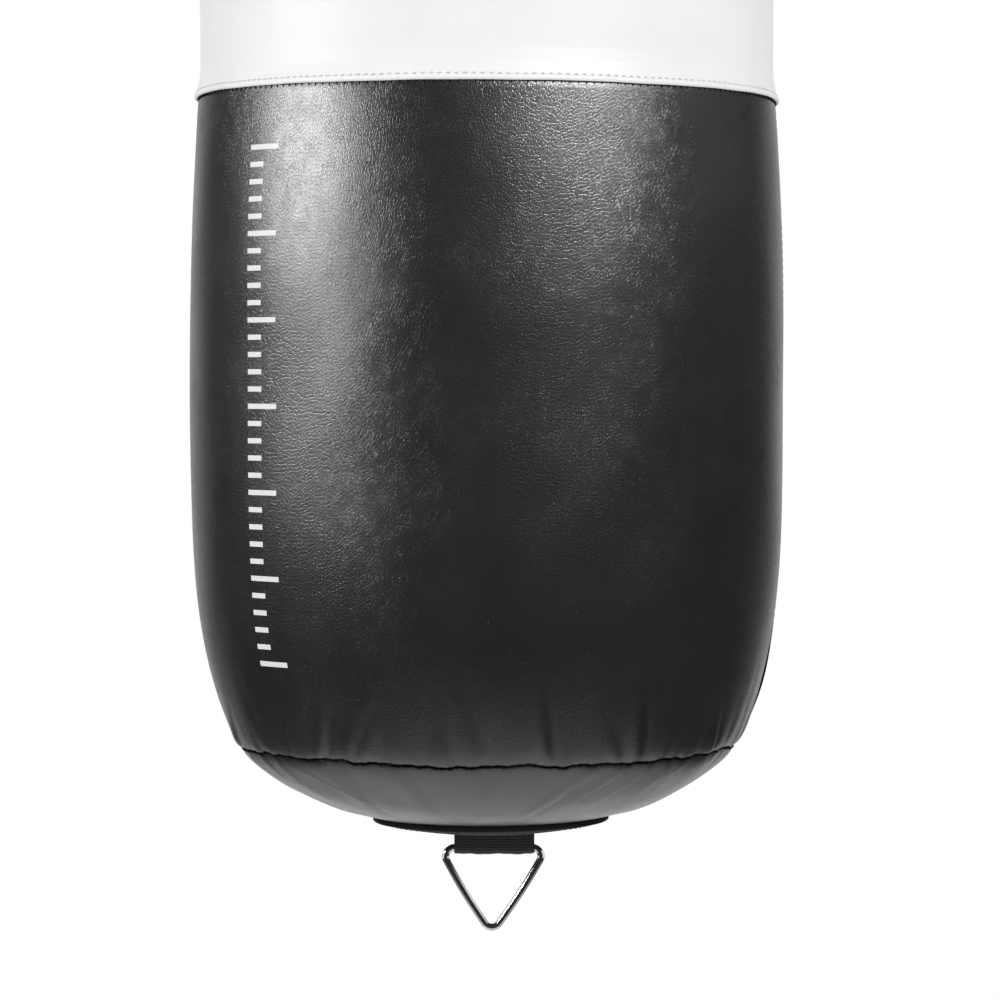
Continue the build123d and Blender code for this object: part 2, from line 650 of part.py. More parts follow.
def make_collar(drills):
    top = BAG_HEIGHT - PIPING_R
    piping_r = COLLAR_R - PIPING_R
    under = sqrt(PIPING_R ** 2 - (PIPING_R - SKIN) ** 2)
    inner = COLLAR_R - SKIN
    collar = tube(COLLAR_R, inner, at(COLLAR_H), at(top - under - GAP))
    belt_high = at(BAG_HEIGHT - BELT_DROP)
    belt = tube(COLLAR_R + SEAT + TAPE_T, COLLAR_R + SEAT, belt_high - BELT_WIDTH, belt_high)
    save("collar", collar - drills)
    save("collar_belt", belt - drills)
    save("rim_piping", Pos(0, 0, at(top)) * Torus(piping_r, PIPING_R))


# ================================================================ lid and zip
LID_TOP = BAG_HEIGHT - 2 * PIPING_R - GAP
LID_LOW = LID_TOP - LID_T
ZIP_TOP = LID_LOW - SEAT
TEETH_MID = ZIP_TOP - ZIP_TAPE_T / 2
TEETH_TOP = TEETH_MID + TOOTH_T / 2
SLIDER_HALF_W = SLOT_WIDTH / 2 - SIDE_PLAY
SLIDER_TOP = max(TEETH_TOP + GAP + SLIDER_ROOF, LID_TOP + SLIDER_ROOF)
ZIP_END = SLOT_LENGTH / 2 - STOP_LENGTH - GAP
SLIDER_START = -ZIP_END + GAP + LUG_REACH + LUG_R + SLIDER_LENGTH / 2
SLIDER_END = ZIP_END - GAP - SLIDER_LENGTH / 2
ZIP_TRAVEL = SLIDER_END - SLIDER_START
PULL_X = SLIDER_START - SLIDER_LENGTH / 2 - LUG_REACH
PULL_Z = LID_TOP + GAP + PULL_T / 2


def teeth_outline():
    """Closed outline of the meshed teeth: steps on both edges, half a pitch apart."""
    half, root = TEETH_WIDTH / 2, TEETH_WIDTH / 2 - 1.0
    length = 2 * (ZIP_END - 2 * GAP)
    count = int(length / TOOTH_PITCH)
    start = -count * TOOTH_PITCH / 2
    upper, lower = [], []
    for i in range(count):
        x0 = start + i * TOOTH_PITCH
        x1, x2 = x0 + TOOTH_PITCH - TOOTH_GAP, x0 + TOOTH_PITCH
        upper += [(x0, half), (x1, half), (x1, root), (x2, root)]
        lower += [(x0, -half), (x1, -half), (x1, -root), (x2, -root)]
    return upper + lower[::-1]


def make_lid():
    lid = tube(COLLAR_R - SKIN - LID_PLAY, 0, at(LID_LOW), at(LID_TOP))
    half, wide = SLOT_LENGTH / 2, SLOT_WIDTH / 2
    save("top_lid", lid - block(-half, half, -wide, wide, at(LID_LOW), at(LID_TOP)))
    core = TEETH_WIDTH / 2 + SEAT
    tapes = []
    for side in (-1, 1):
        y0, y1 = sorted((side * core, side * (core + ZIP_TAPE_WIDTH)))
        tapes.append(block(-half - 6, half + 6, y0, y1, at(ZIP_TOP - ZIP_TAPE_T), at(ZIP_TOP)))
    save("zip_tapes", Compound(children=tapes))
    face = make_face(Polyline(*teeth_outline(), close=True).edges())
    save("zip_teeth", Pos(0, 0, at(TEETH_MID - TOOTH_T / 2)) * extrude(face, TOOTH_T))
    stops = []
    for side in (-1, 1):
        x0, x1 = sorted((side * ZIP_END, side * (ZIP_END + STOP_LENGTH)))
        stops.append(block(x0, x1, -SLIDER_HALF_W, SLIDER_HALF_W, at(ZIP_TOP + SEAT), at(LID_TOP)))
    save("zip_stops", Compound(children=stops))


def make_slider():
    x0, x1 = SLIDER_START - SLIDER_LENGTH / 2, SLIDER_START + SLIDER_LENGTH / 2
    wide, low, top = SLIDER_HALF_W, at(ZIP_TOP + GAP), at(SLIDER_TOP)
    slider = block(x0, x1, -wide, wide, low, top)
    channel = TEETH_WIDTH / 2 + GAP
    slider -= block(x0, x1, -channel, channel, low, at(TEETH_TOP + GAP))
    lug_in = wide - LUG_T
    for side in (-1, 1):
        y0, y1 = sorted((side * lug_in, side * wide))
        lug = block(PULL_X, x0, y0, y1, at(PULL_Z - LUG_R), at(PULL_Z + LUG_R))
        lug &= block(PULL_X, x0, y0, y1, low, top + LUG_R)
        ear = Pos(PULL_X, (y0 + y1) / 2, at(PULL_Z)) * Rot(90, 0, 0) * Cylinder(LUG_R, LUG_T)
        slider += lug + ear
    slider += Pos(PULL_X, 0, at(PULL_Z)) * Rot(90, 0, 0) * Cylinder(PULL_PIN_R, 2 * wide)
    save("zip_slider", slider)

    tongue = lug_in - GAP
    pull = Pos(PULL_X, 0, at(PULL_Z)) * Rot(90, 0, 0) * Cylinder(PULL_EYE_R, 2 * tongue)
    pull &= block(PULL_X - PULL_EYE_R, PULL_X + PULL_EYE_R, -wide, wide,
                  at(PULL_Z) - PULL_T / 2, at(PULL_Z) + PULL_EYE_R)
    pull += block(PULL_X - PULL_NECK, PULL_X, -tongue, tongue, at(PULL_Z) - PULL_T / 2, at(PULL_Z) + PULL_T / 2)
    tab = block(PULL_X - PULL_LENGTH, PULL_X - PULL_NECK, -PULL_WIDTH / 2, PULL_WIDTH / 2,
                at(PULL_Z) - PULL_T / 2, at(PULL_Z) + PULL_T / 2)
    tab = fillet(tab.edges().filter_by(Axis.Z), PULL_WIDTH / 4)
    x_frame = PULL_X - PULL_LENGTH + PULL_FRAME
    window = block(x_frame, x_frame + PULL_WINDOW_LENGTH, -PULL_WINDOW_WIDTH / 2, PULL_WINDOW_WIDTH / 2,
                   at(PULL_Z) - PULL_T, at(PULL_Z) + PULL_T)
    pull += tab - window
    pull -= Pos(PULL_X, 0, at(PULL_Z)) * Rot(90, 0, 0) * Cylinder(PULL_PIN_R + PIN_FIT, 4 * wide)
    save("zip_pull", pull)


# ================================================================ base patch, loop and ring
BASE_BAR_Z = at(-BASE_BAR_DROP)


def make_base():
    mid_y = BASE_TAIL / 2
    tilt = mid_y / CROWN_R
    drop = SEAT + TAPE_T / 2

    def tail_z(y):
        return at(mid_y ** 2 / (2 * CROWN_R) + tilt * (y - mid_y) - drop)

    knee_y = LOOP_BEND + SEAT
    hub = (0, BASE_BAR_Z)
    path = loop_path(hub, (-knee_y, tail_z(knee_y)), (-BASE_TAIL, tail_z(BASE_TAIL)),
                     (knee_y, tail_z(knee_y)), (BASE_TAIL, tail_z(BASE_TAIL)), BASE_FOLD)
    loop = tape(Plane.YZ * path)
    save("base_loop", Pos(LOOP_SHIFT, 0, 0) * loop)

    low = -PATCH_T
    arc_out = asin(PATCH_R / CROWN_R)

    def on(radius, t):
        return radius * sin(t), at(CROWN_R - radius * cos(t))

    top_r, low_r = CROWN_R + SEAT, CROWN_R - low
    patch = turned(
        ThreePointArc(on(top_r, 0), on(top_r, arc_out / 2), on(top_r, arc_out)),
        Line(on(top_r, arc_out), on(low_r, arc_out)),
        ThreePointArc(on(low_r, arc_out), on(low_r, arc_out / 2), on(low_r, 0)),
        Line(on(low_r, 0), on(top_r, 0)),
    )
    patch = Pos(0, 0, at(CROWN_R)) * Rot(0, -degrees(PATCH_SHIFT / CROWN_R), 0) * Pos(0, 0, -at(CROWN_R)) * patch
    half = TAPE_WIDTH / 2 + SLIT_PLAY
    slit = LOOP_BEND + TAPE_T / 2 + SLIT_PLAY
    cut = block(LOOP_SHIFT - half, LOOP_SHIFT + half, -slit, slit, at(-PATCH_T - 5), at(5))
    trough = []
    for side in (-1, 1):
        corners = [(side * slit * 0.5, tail_z(slit * 0.5) - drop - SLIT_PLAY),
                   (side * (BASE_TAIL + SLIT_PLAY), tail_z(BASE_TAIL + SLIT_PLAY) - drop - SLIT_PLAY),
                   (side * (BASE_TAIL + SLIT_PLAY), at(8)), (side * slit * 0.5, at(8))]
        face = Plane.YZ * make_face(Polyline(*corners, close=True).edges())
        trough.append(Pos(LOOP_SHIFT - half, 0, 0) * extrude(face, 2 * half, dir=(1, 0, 0)))
    save("base_patch", patch - cut - trough)
    save("base_ring", Pos(LOOP_SHIFT, 0, BASE_BAR_Z) * Rot(90, 0, 0) * triangle_ring())


# ================================================================ filling
PAD_TOP = TEETH_MID - TOOTH_T / 2 - GAP
LINER_TOP = PAD_TOP - TOP_PAD_T - FILL_PLAY


def make_filling():
    low = SEAM_H + SEAT + SKIN + FILL_PLAY + GAP
    inset = SKIN + FILL_PLAY
    upper_in = LAP_R - SKIN - FILL_PLAY
    lap = HEM_H + LAP
    liner = turned(
        wall_curve(inset, low, HEM_H),
        Polyline((wall_r(HEM_H) - inset, at(HEM_H)), (upper_in, at(lap)), (upper_in, at(LINER_TOP)),
                 (upper_in - LINER_T, at(LINER_TOP)), (upper_in - LINER_T, at(lap)),
                 (wall_r(HEM_H) - inset - LINER_T, at(HEM_H))),
        wall_curve(inset + LINER_T, low, HEM_H),
        Polyline((wall_r(low) - inset - LINER_T, at(low)), (wall_r(low) - inset, at(low))),
    )
    save("foam_liner", liner)
    inset += LINER_T + FILL_PLAY
    upper_in -= LINER_T + FILL_PLAY
    core = CORE_R + FILL_PLAY
    fill = turned(
        wall_curve(inset, low, HEM_H),
        Polyline((wall_r(HEM_H) - inset, at(HEM_H)), (upper_in, at(lap)), (upper_in, at(LINER_TOP)),
                 (core, at(LINER_TOP)), (core, at(low)), (wall_r(low) - inset, at(low))),
    )
    save("textile_fill", fill)
    save("sand_core", tube(CORE_R, 0, at(low), at(LINER_TOP)))
    save("top_pad", tube(UPPER_R - SKIN - LID_PLAY, 0, at(PAD_TOP - TOP_PAD_T), at(PAD_TOP)))
    edge = SEAM_R - SEAM_ALLOWANCE - FILL_PLAY
    gap = SKIN + FILL_PLAY
    pad_high = low - GAP
    edge_h = SHOULDER_Y - sqrt((SHOULDER_R - gap) ** 2 - (edge - SHOULDER_X) ** 2)
    save("base_pad", turned(
        *dome_curves(gap, edge),
        Polyline((edge, at(edge_h)), (edge, at(pad_high)), (0, at(pad_high)), (0, at(gap))),
    ))


make_swivel()
make_bracket()
make_carabiner()
drilled = make_hanging()
make_lower_panel()
make_base_panel()
make_upper_panel()
make_strips()
make_collar(drilled)
make_lid()
make_slider()
make_base()
make_filling()
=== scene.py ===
"""Hanging heavy bag: leather, seams, webbing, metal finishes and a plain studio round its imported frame."""

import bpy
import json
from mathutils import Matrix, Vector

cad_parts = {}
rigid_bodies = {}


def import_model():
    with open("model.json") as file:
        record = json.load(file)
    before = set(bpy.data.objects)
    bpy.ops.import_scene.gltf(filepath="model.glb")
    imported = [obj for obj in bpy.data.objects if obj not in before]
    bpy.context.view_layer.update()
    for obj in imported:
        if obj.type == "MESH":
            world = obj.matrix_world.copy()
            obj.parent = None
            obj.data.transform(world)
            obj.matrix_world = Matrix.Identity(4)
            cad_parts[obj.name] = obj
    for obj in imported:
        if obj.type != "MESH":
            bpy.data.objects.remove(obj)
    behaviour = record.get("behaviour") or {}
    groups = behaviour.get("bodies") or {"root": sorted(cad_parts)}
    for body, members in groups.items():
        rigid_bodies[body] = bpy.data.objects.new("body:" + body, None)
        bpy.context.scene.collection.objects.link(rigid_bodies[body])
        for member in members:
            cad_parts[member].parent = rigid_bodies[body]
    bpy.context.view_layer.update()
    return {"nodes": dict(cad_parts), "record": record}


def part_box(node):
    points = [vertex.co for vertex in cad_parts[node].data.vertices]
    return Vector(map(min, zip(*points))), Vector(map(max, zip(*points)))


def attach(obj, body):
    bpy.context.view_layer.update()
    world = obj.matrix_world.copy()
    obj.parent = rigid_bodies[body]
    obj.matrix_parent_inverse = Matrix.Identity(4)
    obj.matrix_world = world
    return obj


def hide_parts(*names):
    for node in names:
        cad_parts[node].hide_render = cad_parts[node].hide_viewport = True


bl_info = {
    "name": "Hanging Heavy Bag",
    "version": (1, 0, 0),
    "blender": (4, 5, 0),
    "location": "View3D > Sidebar > Heavy Bag",
    "description": "Dresses a filled heavy bag on chains in leather, webbing, thread and metal",
    "category": "Object",
}

import functools
import json
import math

import bmesh
import bpy
import numpy as np
from bpy.props import FloatProperty, FloatVectorProperty, IntProperty, PointerProperty
from mathutils import Vector

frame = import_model()


# ======== places and sizes, in metres
def span(node, axis, zero=0.0):
    """Both ends of a node's box along an axis, counted from zero."""
    return [corner[axis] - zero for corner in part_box(node)]


BASE_Z = span("base_panel", 2)[0]
heights = functools.partial(span, axis=2, zero=BASE_Z)  # above the lowest leather

SKIN, OFF = 0.0012, 0.00005  # thickness of the leather; how far thread lies off it
SEAM_R, FLANGE_R = 0.1501, 0.1421
BELLY_H, HEM_IN, KNEE_POWER = 0.305, 0.0054, 4.7
CROWN_R, CROWN_TO = 0.330, 0.090
UPPER_R, LAP_R = 0.1737, 0.17245
SKIN_COLUMNS, SEAM_FADE = 480, 0.012  # points round the skins; how far above it the seam's wander is felt
TAPE_WIDTH, TAPE_T, TAPE_BEND = 0.049, 0.0015, 0.00325
TAIL_IN, TAIL_OUT, LOOP_RISE = 0.1773, 0.17885, 0.022
TOP_LEAN = math.radians(27.4916)
TOP_ANGLES = [math.radians(degrees) for degrees in (45, 135, 225, 315)]
STRIP_FROM, STRIP_TO = math.radians(2.0), math.radians(14.0)
STRIP_MID = (STRIP_FROM + STRIP_TO) / 2
SLOT_HALF, SLOT_WIDE = 0.131, 0.0045
WIRE_R, BAR_BEND, APEX_BEND = 0.00225, 0.005, 0.0048
PIPING_R = 0.003
UP = np.array([0.0, 0.0, 1.0])

SEAM_H, HEM_H = heights("lower_panel")[0], heights("upper_panel")[0]
COLLAR_H, COLLAR_TOP = heights("collar")
BELT_LOW, BELT_HIGH = heights("collar_belt")
LID_LOW, LID_TOP = heights("top_lid")
RIM_H, BAR_H = heights("rim_piping")[1], heights("base_ring")[1] - WIRE_R
BELLY_R, HEM_EDGE_R, COLLAR_R, BELT_R, LID_R = (
    span(node, 0)[1] for node in ("lower_panel", "upper_panel", "collar", "collar_belt", "top_lid")
)
LOOP_X, PATCH_X = (sum(span(node, 0)) / 2 for node in ("base_loop", "base_patch"))
PATCH_R, RING_HALF = (-np.subtract(*span(node, 0)) / 2 for node in ("base_patch", "base_ring"))
RING_DROP = -np.subtract(*span("base_ring", 2)) - 2 * WIRE_R
CROWN_TILT = math.asin(CROWN_TO / CROWN_R)


def shoulder_arc():
    """Centre and radius of the arc that is tangent to the crown and meets the seam."""
    crown_h = CROWN_R * (1 - math.cos(CROWN_TILT))
    dx, dy = SEAM_R - CROWN_TO, SEAM_H - crown_h
    nx, ny = -math.sin(CROWN_TILT), math.cos(CROWN_TILT)
    radius = (dx**2 + dy**2) / (2 * (dx * nx + dy * ny))
    return CROWN_TO + radius * nx, crown_h + radius * ny, radius


SHOULDER_X, SHOULDER_Y, SHOULDER_R = shoulder_arc()
SHOULDER_END = math.asin((SEAM_R - SHOULDER_X) / SHOULDER_R)
DOME_LENGTH = CROWN_R * CROWN_TILT + SHOULDER_R * (SHOULDER_END - CROWN_TILT)


# ======== settings
def length(name, description, default, **limits):
    """A length that the panel shows in the scene's unit."""
    return FloatProperty(name=name, description=description, default=default, unit="LENGTH", precision=5, **limits)


def rotation(name, description, degrees):
    """An angle, given in degrees."""
    return FloatProperty(name=name, description=description, default=math.radians(degrees), subtype="ANGLE")


def power(name, description, default):
    """A lamp's power in watts."""
    return FloatProperty(name=name, description=description, default=default, unit="POWER")


def colour(name, description, default):
    """A colour in linear light."""
    return FloatVectorProperty(
        name=name, description=description, default=default, size=3, subtype="COLOR", min=0.0, max=1.0
    )


class HeavyBagSizes(bpy.types.PropertyGroup):
    """Sizes of the leather's relief, the thread and the printed marks."""

    lump_height: length("Lump height", "Unevenness of the packing under the leather", 0.00022, min=0.0)
    gather_depth: length("Gather depth", "Height of the gathers beside the base seam", 0.0016, min=0.0)
    gather_count: IntProperty(name="Gathers", description="Number of gathers round the base seam", default=58, min=1)
    seam_wave: length("Seam wave", "How far the base seam wanders up and down", 0.0009, min=0.0)
    groove: length("Seam groove", "Depth of the valley in which the base seam lies", 0.0011, min=0.0)
    stitch_pitch: length("Stitch pitch", "Distance from one stitch to the next", 0.0049, min=0.001)
    stitch_length: length("Stitch length", "Length of thread that shows in one stitch", 0.0034, min=0.0005)
    thread_radius: length("Thread radius", "Half the thickness of the sewing thread", 0.00038, min=0.0001)
    hem_stitch_rise: length("Hem stitch rise", "Height of the hem's stitches above its edge", 0.0038, min=0.001)
    mark_count: IntProperty(name="Marks", description="Number of printed bars of the plain height scale", default=31)
    mark_width: length("Mark width", "Width of a long bar, round the bag; a short one is half as wide", 0.025)
    mark_height: length("Mark height", "Thickness of a printed bar", 0.0030)
    mark_low: length("Lowest mark", "Height of the lowest bar's middle above the base", 0.108)
    mark_high: length("Highest mark", "Height of the highest bar's middle above the base", 0.408)
    mark_turn: rotation("Mark position", "Angle of the bars round the bag, from its right side", -136.4)


class HeavyBagColours(bpy.types.PropertyGroup):
    """Colours of the leather, webbing, thread and metal."""

    black_leather: colour("Black leather", "Colour of the lower, base and collar leather", (0.0105, 0.0105, 0.011))
    white_leather: colour("White leather", "Colour of the upper leather", (0.87, 0.87, 0.87))
    black_thread: colour("Black thread", "Colour of the thread in the black leather", (0.007, 0.007, 0.007))
    white_thread: colour("White thread", "Colour of the thread in the white leather", (0.82, 0.82, 0.82))
    print_ink: colour("Print", "Colour of the printed bars", (0.80, 0.80, 0.80))
    webbing: colour("Webbing", "Colour of the woven tape", (0.014, 0.014, 0.015))
    chrome: colour("Chrome", "Colour of the plated wire rings and rivets", (0.78, 0.78, 0.79))
    forged: colour("Forged plating", "Colour of the hooks', carabiner's and swivel's plating", (0.52, 0.52, 0.53))
    zinc: colour("Zinc", "Colour of the zinc-plated parts", (0.55, 0.55, 0.57))
    black_steel: colour("Black steel", "Colour of the painted bracket", (0.02, 0.02, 0.022))
    zip_metal: colour("Zip metal", "Colour of the zip's teeth and slider", (0.46, 0.43, 0.36))


class HeavyBagStudio(bpy.types.PropertyGroup):
    """Camera, lamps and floor."""

    camera_distance: length("Camera distance", "From the bag's axis to the camera", 2.41)
    camera_rise: length("Camera rise", "Camera above the lowest leather", 0.279)
    camera_lens: FloatProperty(name="Lens", description="Focal length on a 36 mm sensor", default=142.2, unit="CAMERA")
    camera_pitch: rotation("Pitch", "How far the camera looks down", 1.885)
    camera_pan: rotation("Pan", "How far the camera looks to the right", 0.19)
    floor_drop: length("Floor drop", "Floor below the lowest leather", 0.50)
    left_power: power("Left lamp", "Power of the left softbox", 9.5)
    left_sheen: power("Left sheen", "Extra power of the left softbox that only gloss shows", 34.0)
    right_power: power("Right lamp", "Power of the right softbox", 10.4)
    right_sheen: power("Right sheen", "Extra power of the right softbox that only gloss shows", 21.5)
    side_sheen: power("Side sheen", "Power of the dim card at the right that only gloss shows", 0.4)
    card_power: power("Metal cards", "Power of the cards that only metal mirrors", 20.0)
    room_light: FloatProperty(name="Room light", description="Strength of the light from all round", default=0.63)


# ======== shapes: lines and profiles
def unit(ways):
    """Vectors brought to length 1."""
    return ways / np.linalg.norm(ways, axis=-1, keepdims=True)


def squared(out, along):
    """The way out made square to the way along, of length 1."""
    return unit(out - along * (out * along).sum(-1, keepdims=True))


def run_of(line):
    """Length along a line up to each of its points."""
    return np.append(0.0, np.cumsum(np.linalg.norm(np.diff(line, axis=0), axis=1)))


def at_run(line, at):
    """Points of a line at given lengths along it."""
    run = run_of(line)
    return np.stack([np.interp(at, run, line[:, k]) for k in range(line.shape[1])], -1)


def softened(corners, count, passes=2):
    """A line through the corners, divided evenly by length, each point then averaged with its neighbours."""
    corners = np.asarray(corners, float)
    line = at_run(corners, np.linspace(0.0, run_of(corners)[-1], count))
    for _ in range(passes):
        line[1:-1] = (line[:-2] + 2 * line[1:-1] + line[2:]) / 4
    return line


def arc(x, y, radius, t):
    """Points of a circle round (x, y) at angles t."""
    return np.stack([x + radius * np.cos(t), y + radius * np.sin(t)], -1)


def polar(a, r, z):
    """Points at angle a round the bag, radius r and height z."""
    return np.stack(np.broadcast_arrays(r * np.cos(a), r * np.sin(a), z), -1)


def facing(a):
    """The way out from the bag's axis at angle a, and the way round it."""
    return polar(a, 1.0, 0.0), np.stack(np.broadcast_arrays(-np.sin(a), np.cos(a), 0.0), -1)


def wall_radius(h):
    """Lower wall: the belly's radius, drawn in below it by a power of the drop and above it by its square."""
    drop = np.clip((BELLY_H - h) / (BELLY_H - SEAM_H), 0.0, None)
    rise = np.clip((h - BELLY_H) / (HEM_H - BELLY_H), 0.0, None)
    return BELLY_R - (BELLY_R - SEAM_R) * drop**KNEE_POWER - HEM_IN * rise**2


def dome_profile(s, inset=0.0):
    """Base: an arc of the crown's radius from the axis, then the shoulder's arc; s is the share of its length."""
    far = s * DOME_LENGTH
    tilt = far / CROWN_R
    bend = CROWN_TILT + (far - CROWN_R * CROWN_TILT) / SHOULDER_R
    big, small = CROWN_R - inset, SHOULDER_R - inset
    r = np.where(tilt < CROWN_TILT, big * np.sin(tilt), SHOULDER_X + small * np.sin(bend))
    h = np.where(tilt < CROWN_TILT, CROWN_R - big * np.cos(tilt), SHOULDER_Y - small * np.cos(bend))
    return np.stack([r, h], -1)


def evenly(columns):
    """A full turn divided evenly."""
    return np.arange(columns) * 2 * np.pi / columns


def angles(columns):
    """Angles round the bag, from the middle of the side strip, where the cloth's measure starts and ends."""
    return STRIP_MID + evenly(columns)


def girth(columns, radius):
    """The cloth's measure round the bag, with its end."""
    return np.arange(columns + 1) * 2 * np.pi * radius / columns


def closed(values):
    """Values of a closed row, with the first one once more at its end."""
    return np.append(values, values[0])


def capped(values):
    """Values of rows with closed ends: the first and the last one count twice."""
    return np.concatenate([values[:1], values, values[-1:]])


def turned(profile, columns, push=0.0, lift=0.0):
    """Surface of revolution of (r, h), pushed out along the profile's own normal and lifted."""
    step = unit(np.gradient(profile, axis=0))
    r = profile[:, :1] + step[:, 1:] * push
    return polar(angles(columns), r, BASE_Z + profile[:, 1:] - step[:, :1] * push + lift)


def carried(path, side, out, section):
    """A section carried along a path: path + across * side + rise * out, at every point of both."""
    side, out = np.broadcast_to(side, path.shape), np.broadcast_to(out, path.shape)
    return path[:, None] + section[None, :, :1] * side[:, None] + section[None, :, 1:] * out[:, None]


def tape_section(width, thick, count):
    """Closed flat section: rise = +-thick/2 sqrt(1 - (2 x / width)^10), x spaced closer at the edges."""
    x = np.sin(np.linspace(-np.pi / 2, np.pi / 2, count + 1))
    rise = thick / 2 * np.sqrt(np.clip(1 - x**10, 0, None))
    top = np.stack([-x * width / 2, rise], -1)[:-1]
    return np.concatenate([top, np.stack([x * width / 2, -rise], -1)[:-1]])


def closed_ends(points):
    """The grid with its first and last rows closed to their middles."""
    first, last = (np.broadcast_to(row.mean(1, keepdims=True), row.shape) for row in (points[:1], points[-1:]))
    return np.concatenate([first, points, last])


# ======== shapes: relief of the leather
def lumps(a, h, height):
    """Uneven packing: a sum of waves round the bag and up it, lower the shorter they are."""
    pick = np.random.default_rng(7)
    total, weight = 0.0, 0.0
    for k in range(2, 20):
        tilt, phase, gain = pick.uniform(-55, 55), pick.uniform(0, 2 * np.pi), 1 / (1 + 0.15 * k)
        total = total + gain * np.cos(k * a + tilt * h + phase)
        weight += gain**2
    return height * total / math.sqrt(weight / 2)


def seam_wander(a, height):
    """Wandering of the base seam: a sum of whole waves round the bag."""
    pick = np.random.default_rng(11)
    waves = [(k, pick.uniform(0, 2 * np.pi), 1 / (1 + 0.025 * k)) for k in (3, 7, 11, 17, 23, 31, 41, 53, 67, 89, 113)]
    return height * sum(g * np.cos(k * a + phase) for k, phase, g in waves) / 2


def gathers(a, d, sizes, seed, reach, lean, share):
    """Gathers at a seam: ridges with one steep side, leaning as they leave the seam.

    Each is exp(-x^2) across, x = (angle - place - lean d) / width, less half of the same a little aside,
    and (d / long) exp(1 - d / long) along."""
    pick = np.random.default_rng(seed)
    total = 0.0
    for i in range(sizes.gather_count):
        place = (i + pick.uniform(-0.4, 0.4)) * 2 * np.pi / sizes.gather_count
        slope = math.tan(pick.normal(0.0, 0.35)) + lean * math.cos(place)
        wide = pick.uniform(0.0035, 0.0095) / SEAM_R
        long = reach * pick.uniform(0.35, 1.5)
        tall = sizes.gather_depth * share * pick.uniform(0.12, 1.0) ** 1.6
        x = (a - place - slope * d / SEAM_R + np.pi) % (2 * np.pi) - np.pi
        ridge = np.exp(-((x / wide) ** 2)) - 0.55 * np.exp(-(((x - 1.1 * wide) / (0.55 * wide)) ** 2))
        total = total + tall * ridge * (d / long) * np.exp(1 - d / long)
    return total


def seam_shape(d, sizes, share=1.0):
    """Leather beside the sewn-in seam: a groove of exp(-d) form and a small swell beyond it."""
    groove_reach, swell, swell_at = 0.0009, 0.0011, 0.008
    groove = -sizes.groove * share * np.exp(-d / groove_reach)
    return groove + swell * (d / swell_at) * np.exp(1 - d / swell_at)


def lower_relief(a, h, sizes):
    """How far the lower leather stands off its plain profile: lumps, gathers and the seam's groove."""
    d = np.clip(h - SEAM_H, 0.0, None) * 1.1
    calm = np.clip((HEM_H - h) / 0.03, 0.0, 1.0) * np.clip(d / 0.03, 0.0, 1.0)
    return lumps(a, h, sizes.lump_height) * calm + seam_shape(d, sizes) + gathers(a, d, sizes, 21, 0.011, 0.15, 0.8)


def base_relief(a, s, sizes):
    """How far the base leather stands off its arcs; nothing under the patch."""
    d = (1 - s) * DOME_LENGTH
    outside = np.clip((s * DOME_LENGTH - PATCH_R - 0.004) / 0.02, 0.0, 1.0)
    shape = lumps(a, 3 * d, sizes.lump_height) + gathers(a, d, sizes, 33, 0.014, -0.2, 0.55)
    return shape * outside + seam_shape(d, sizes, 0.15)


def hem_wander(a):
    """Height of the hem over its plain ring: a slight slope across the bag, small waves, a sag at both sides."""
    waves = 0.00011 * np.cos(5 * a + 1.0) + 0.00009 * np.cos(13 * a + 4.0) + 0.00006 * np.cos(29 * a + 2.0)
    ends = 0.0018 * np.clip(np.cos(a), 0, 1) ** 24 + 0.0009 * np.clip(-np.cos(a), 0, 1) ** 24
    return 0.0007 - 0.0009 * np.cos(a) + waves - ends


# ======== making meshes
CORNERS = ((0, 0), (1, 0), (1, 1), (0, 1))


def grid_faces(rows, columns, wrap_rows):
    """Corners of the quads between neighbouring points of a grid of closed rows, with their row and column."""
    i, j = np.meshgrid(np.arange(rows if wrap_rows else rows - 1), np.arange(columns), indexing="ij")
    i, j = i.ravel(), j.ravel()
    return np.stack([(i + q) % rows * columns + (j + p) % columns for p, q in CORNERS], -1), i, j


def new_mesh(name, verts, quads, uvs=None, merge=True, recalc=True):
    """A smooth mesh of quads; merge joins points that coincide, and recalc turns the faces outward as well."""
    mesh = bpy.data.meshes.new(name)
    mesh.vertices.add(len(verts))
    mesh.vertices.foreach_set("co", verts.astype(np.float32).ravel())
    mesh.loops.add(quads.size)
    mesh.loops.foreach_set("vertex_index", quads.astype(np.int32).ravel())
    mesh.polygons.add(len(quads))
    mesh.polygons.foreach_set("loop_start", np.arange(0, quads.size, 4, dtype=np.int32))
    mesh.polygons.foreach_set("loop_total", np.full(len(quads), 4, np.int32))
    mesh.polygons.foreach_set("use_smooth", np.ones(len(quads), bool))
    if uvs is not None:
        mesh.uv_layers.new(name="cloth").data.foreach_set("uv", uvs.astype(np.float32).ravel())
    mesh.update(calc_edges=True)
    if merge:
        work = bmesh.new()
        work.from_mesh(mesh)
        bmesh.ops.remove_doubles(work, verts=work.verts, dist=1e-6)
        if recalc:
            bmesh.ops.recalc_face_normals(work, faces=work.faces)
        work.to_mesh(mesh)
        work.free()
    return mesh


def declare(name, mesh, material, replaces=(), body="bag", sharp=50.0):
    """A finished piece at the origin, riding on its body, with the frame's nodes it replaces hidden."""
    mesh.validate()
    mesh.set_sharp_from_angle(angle=math.radians(sharp))
    made = bpy.data.objects.new(name, mesh)
    bpy.context.scene.collection.objects.link(made)
    mesh.materials.append(material)
    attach(made, body)
    if replaces:
        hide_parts(*replaces)
    return made


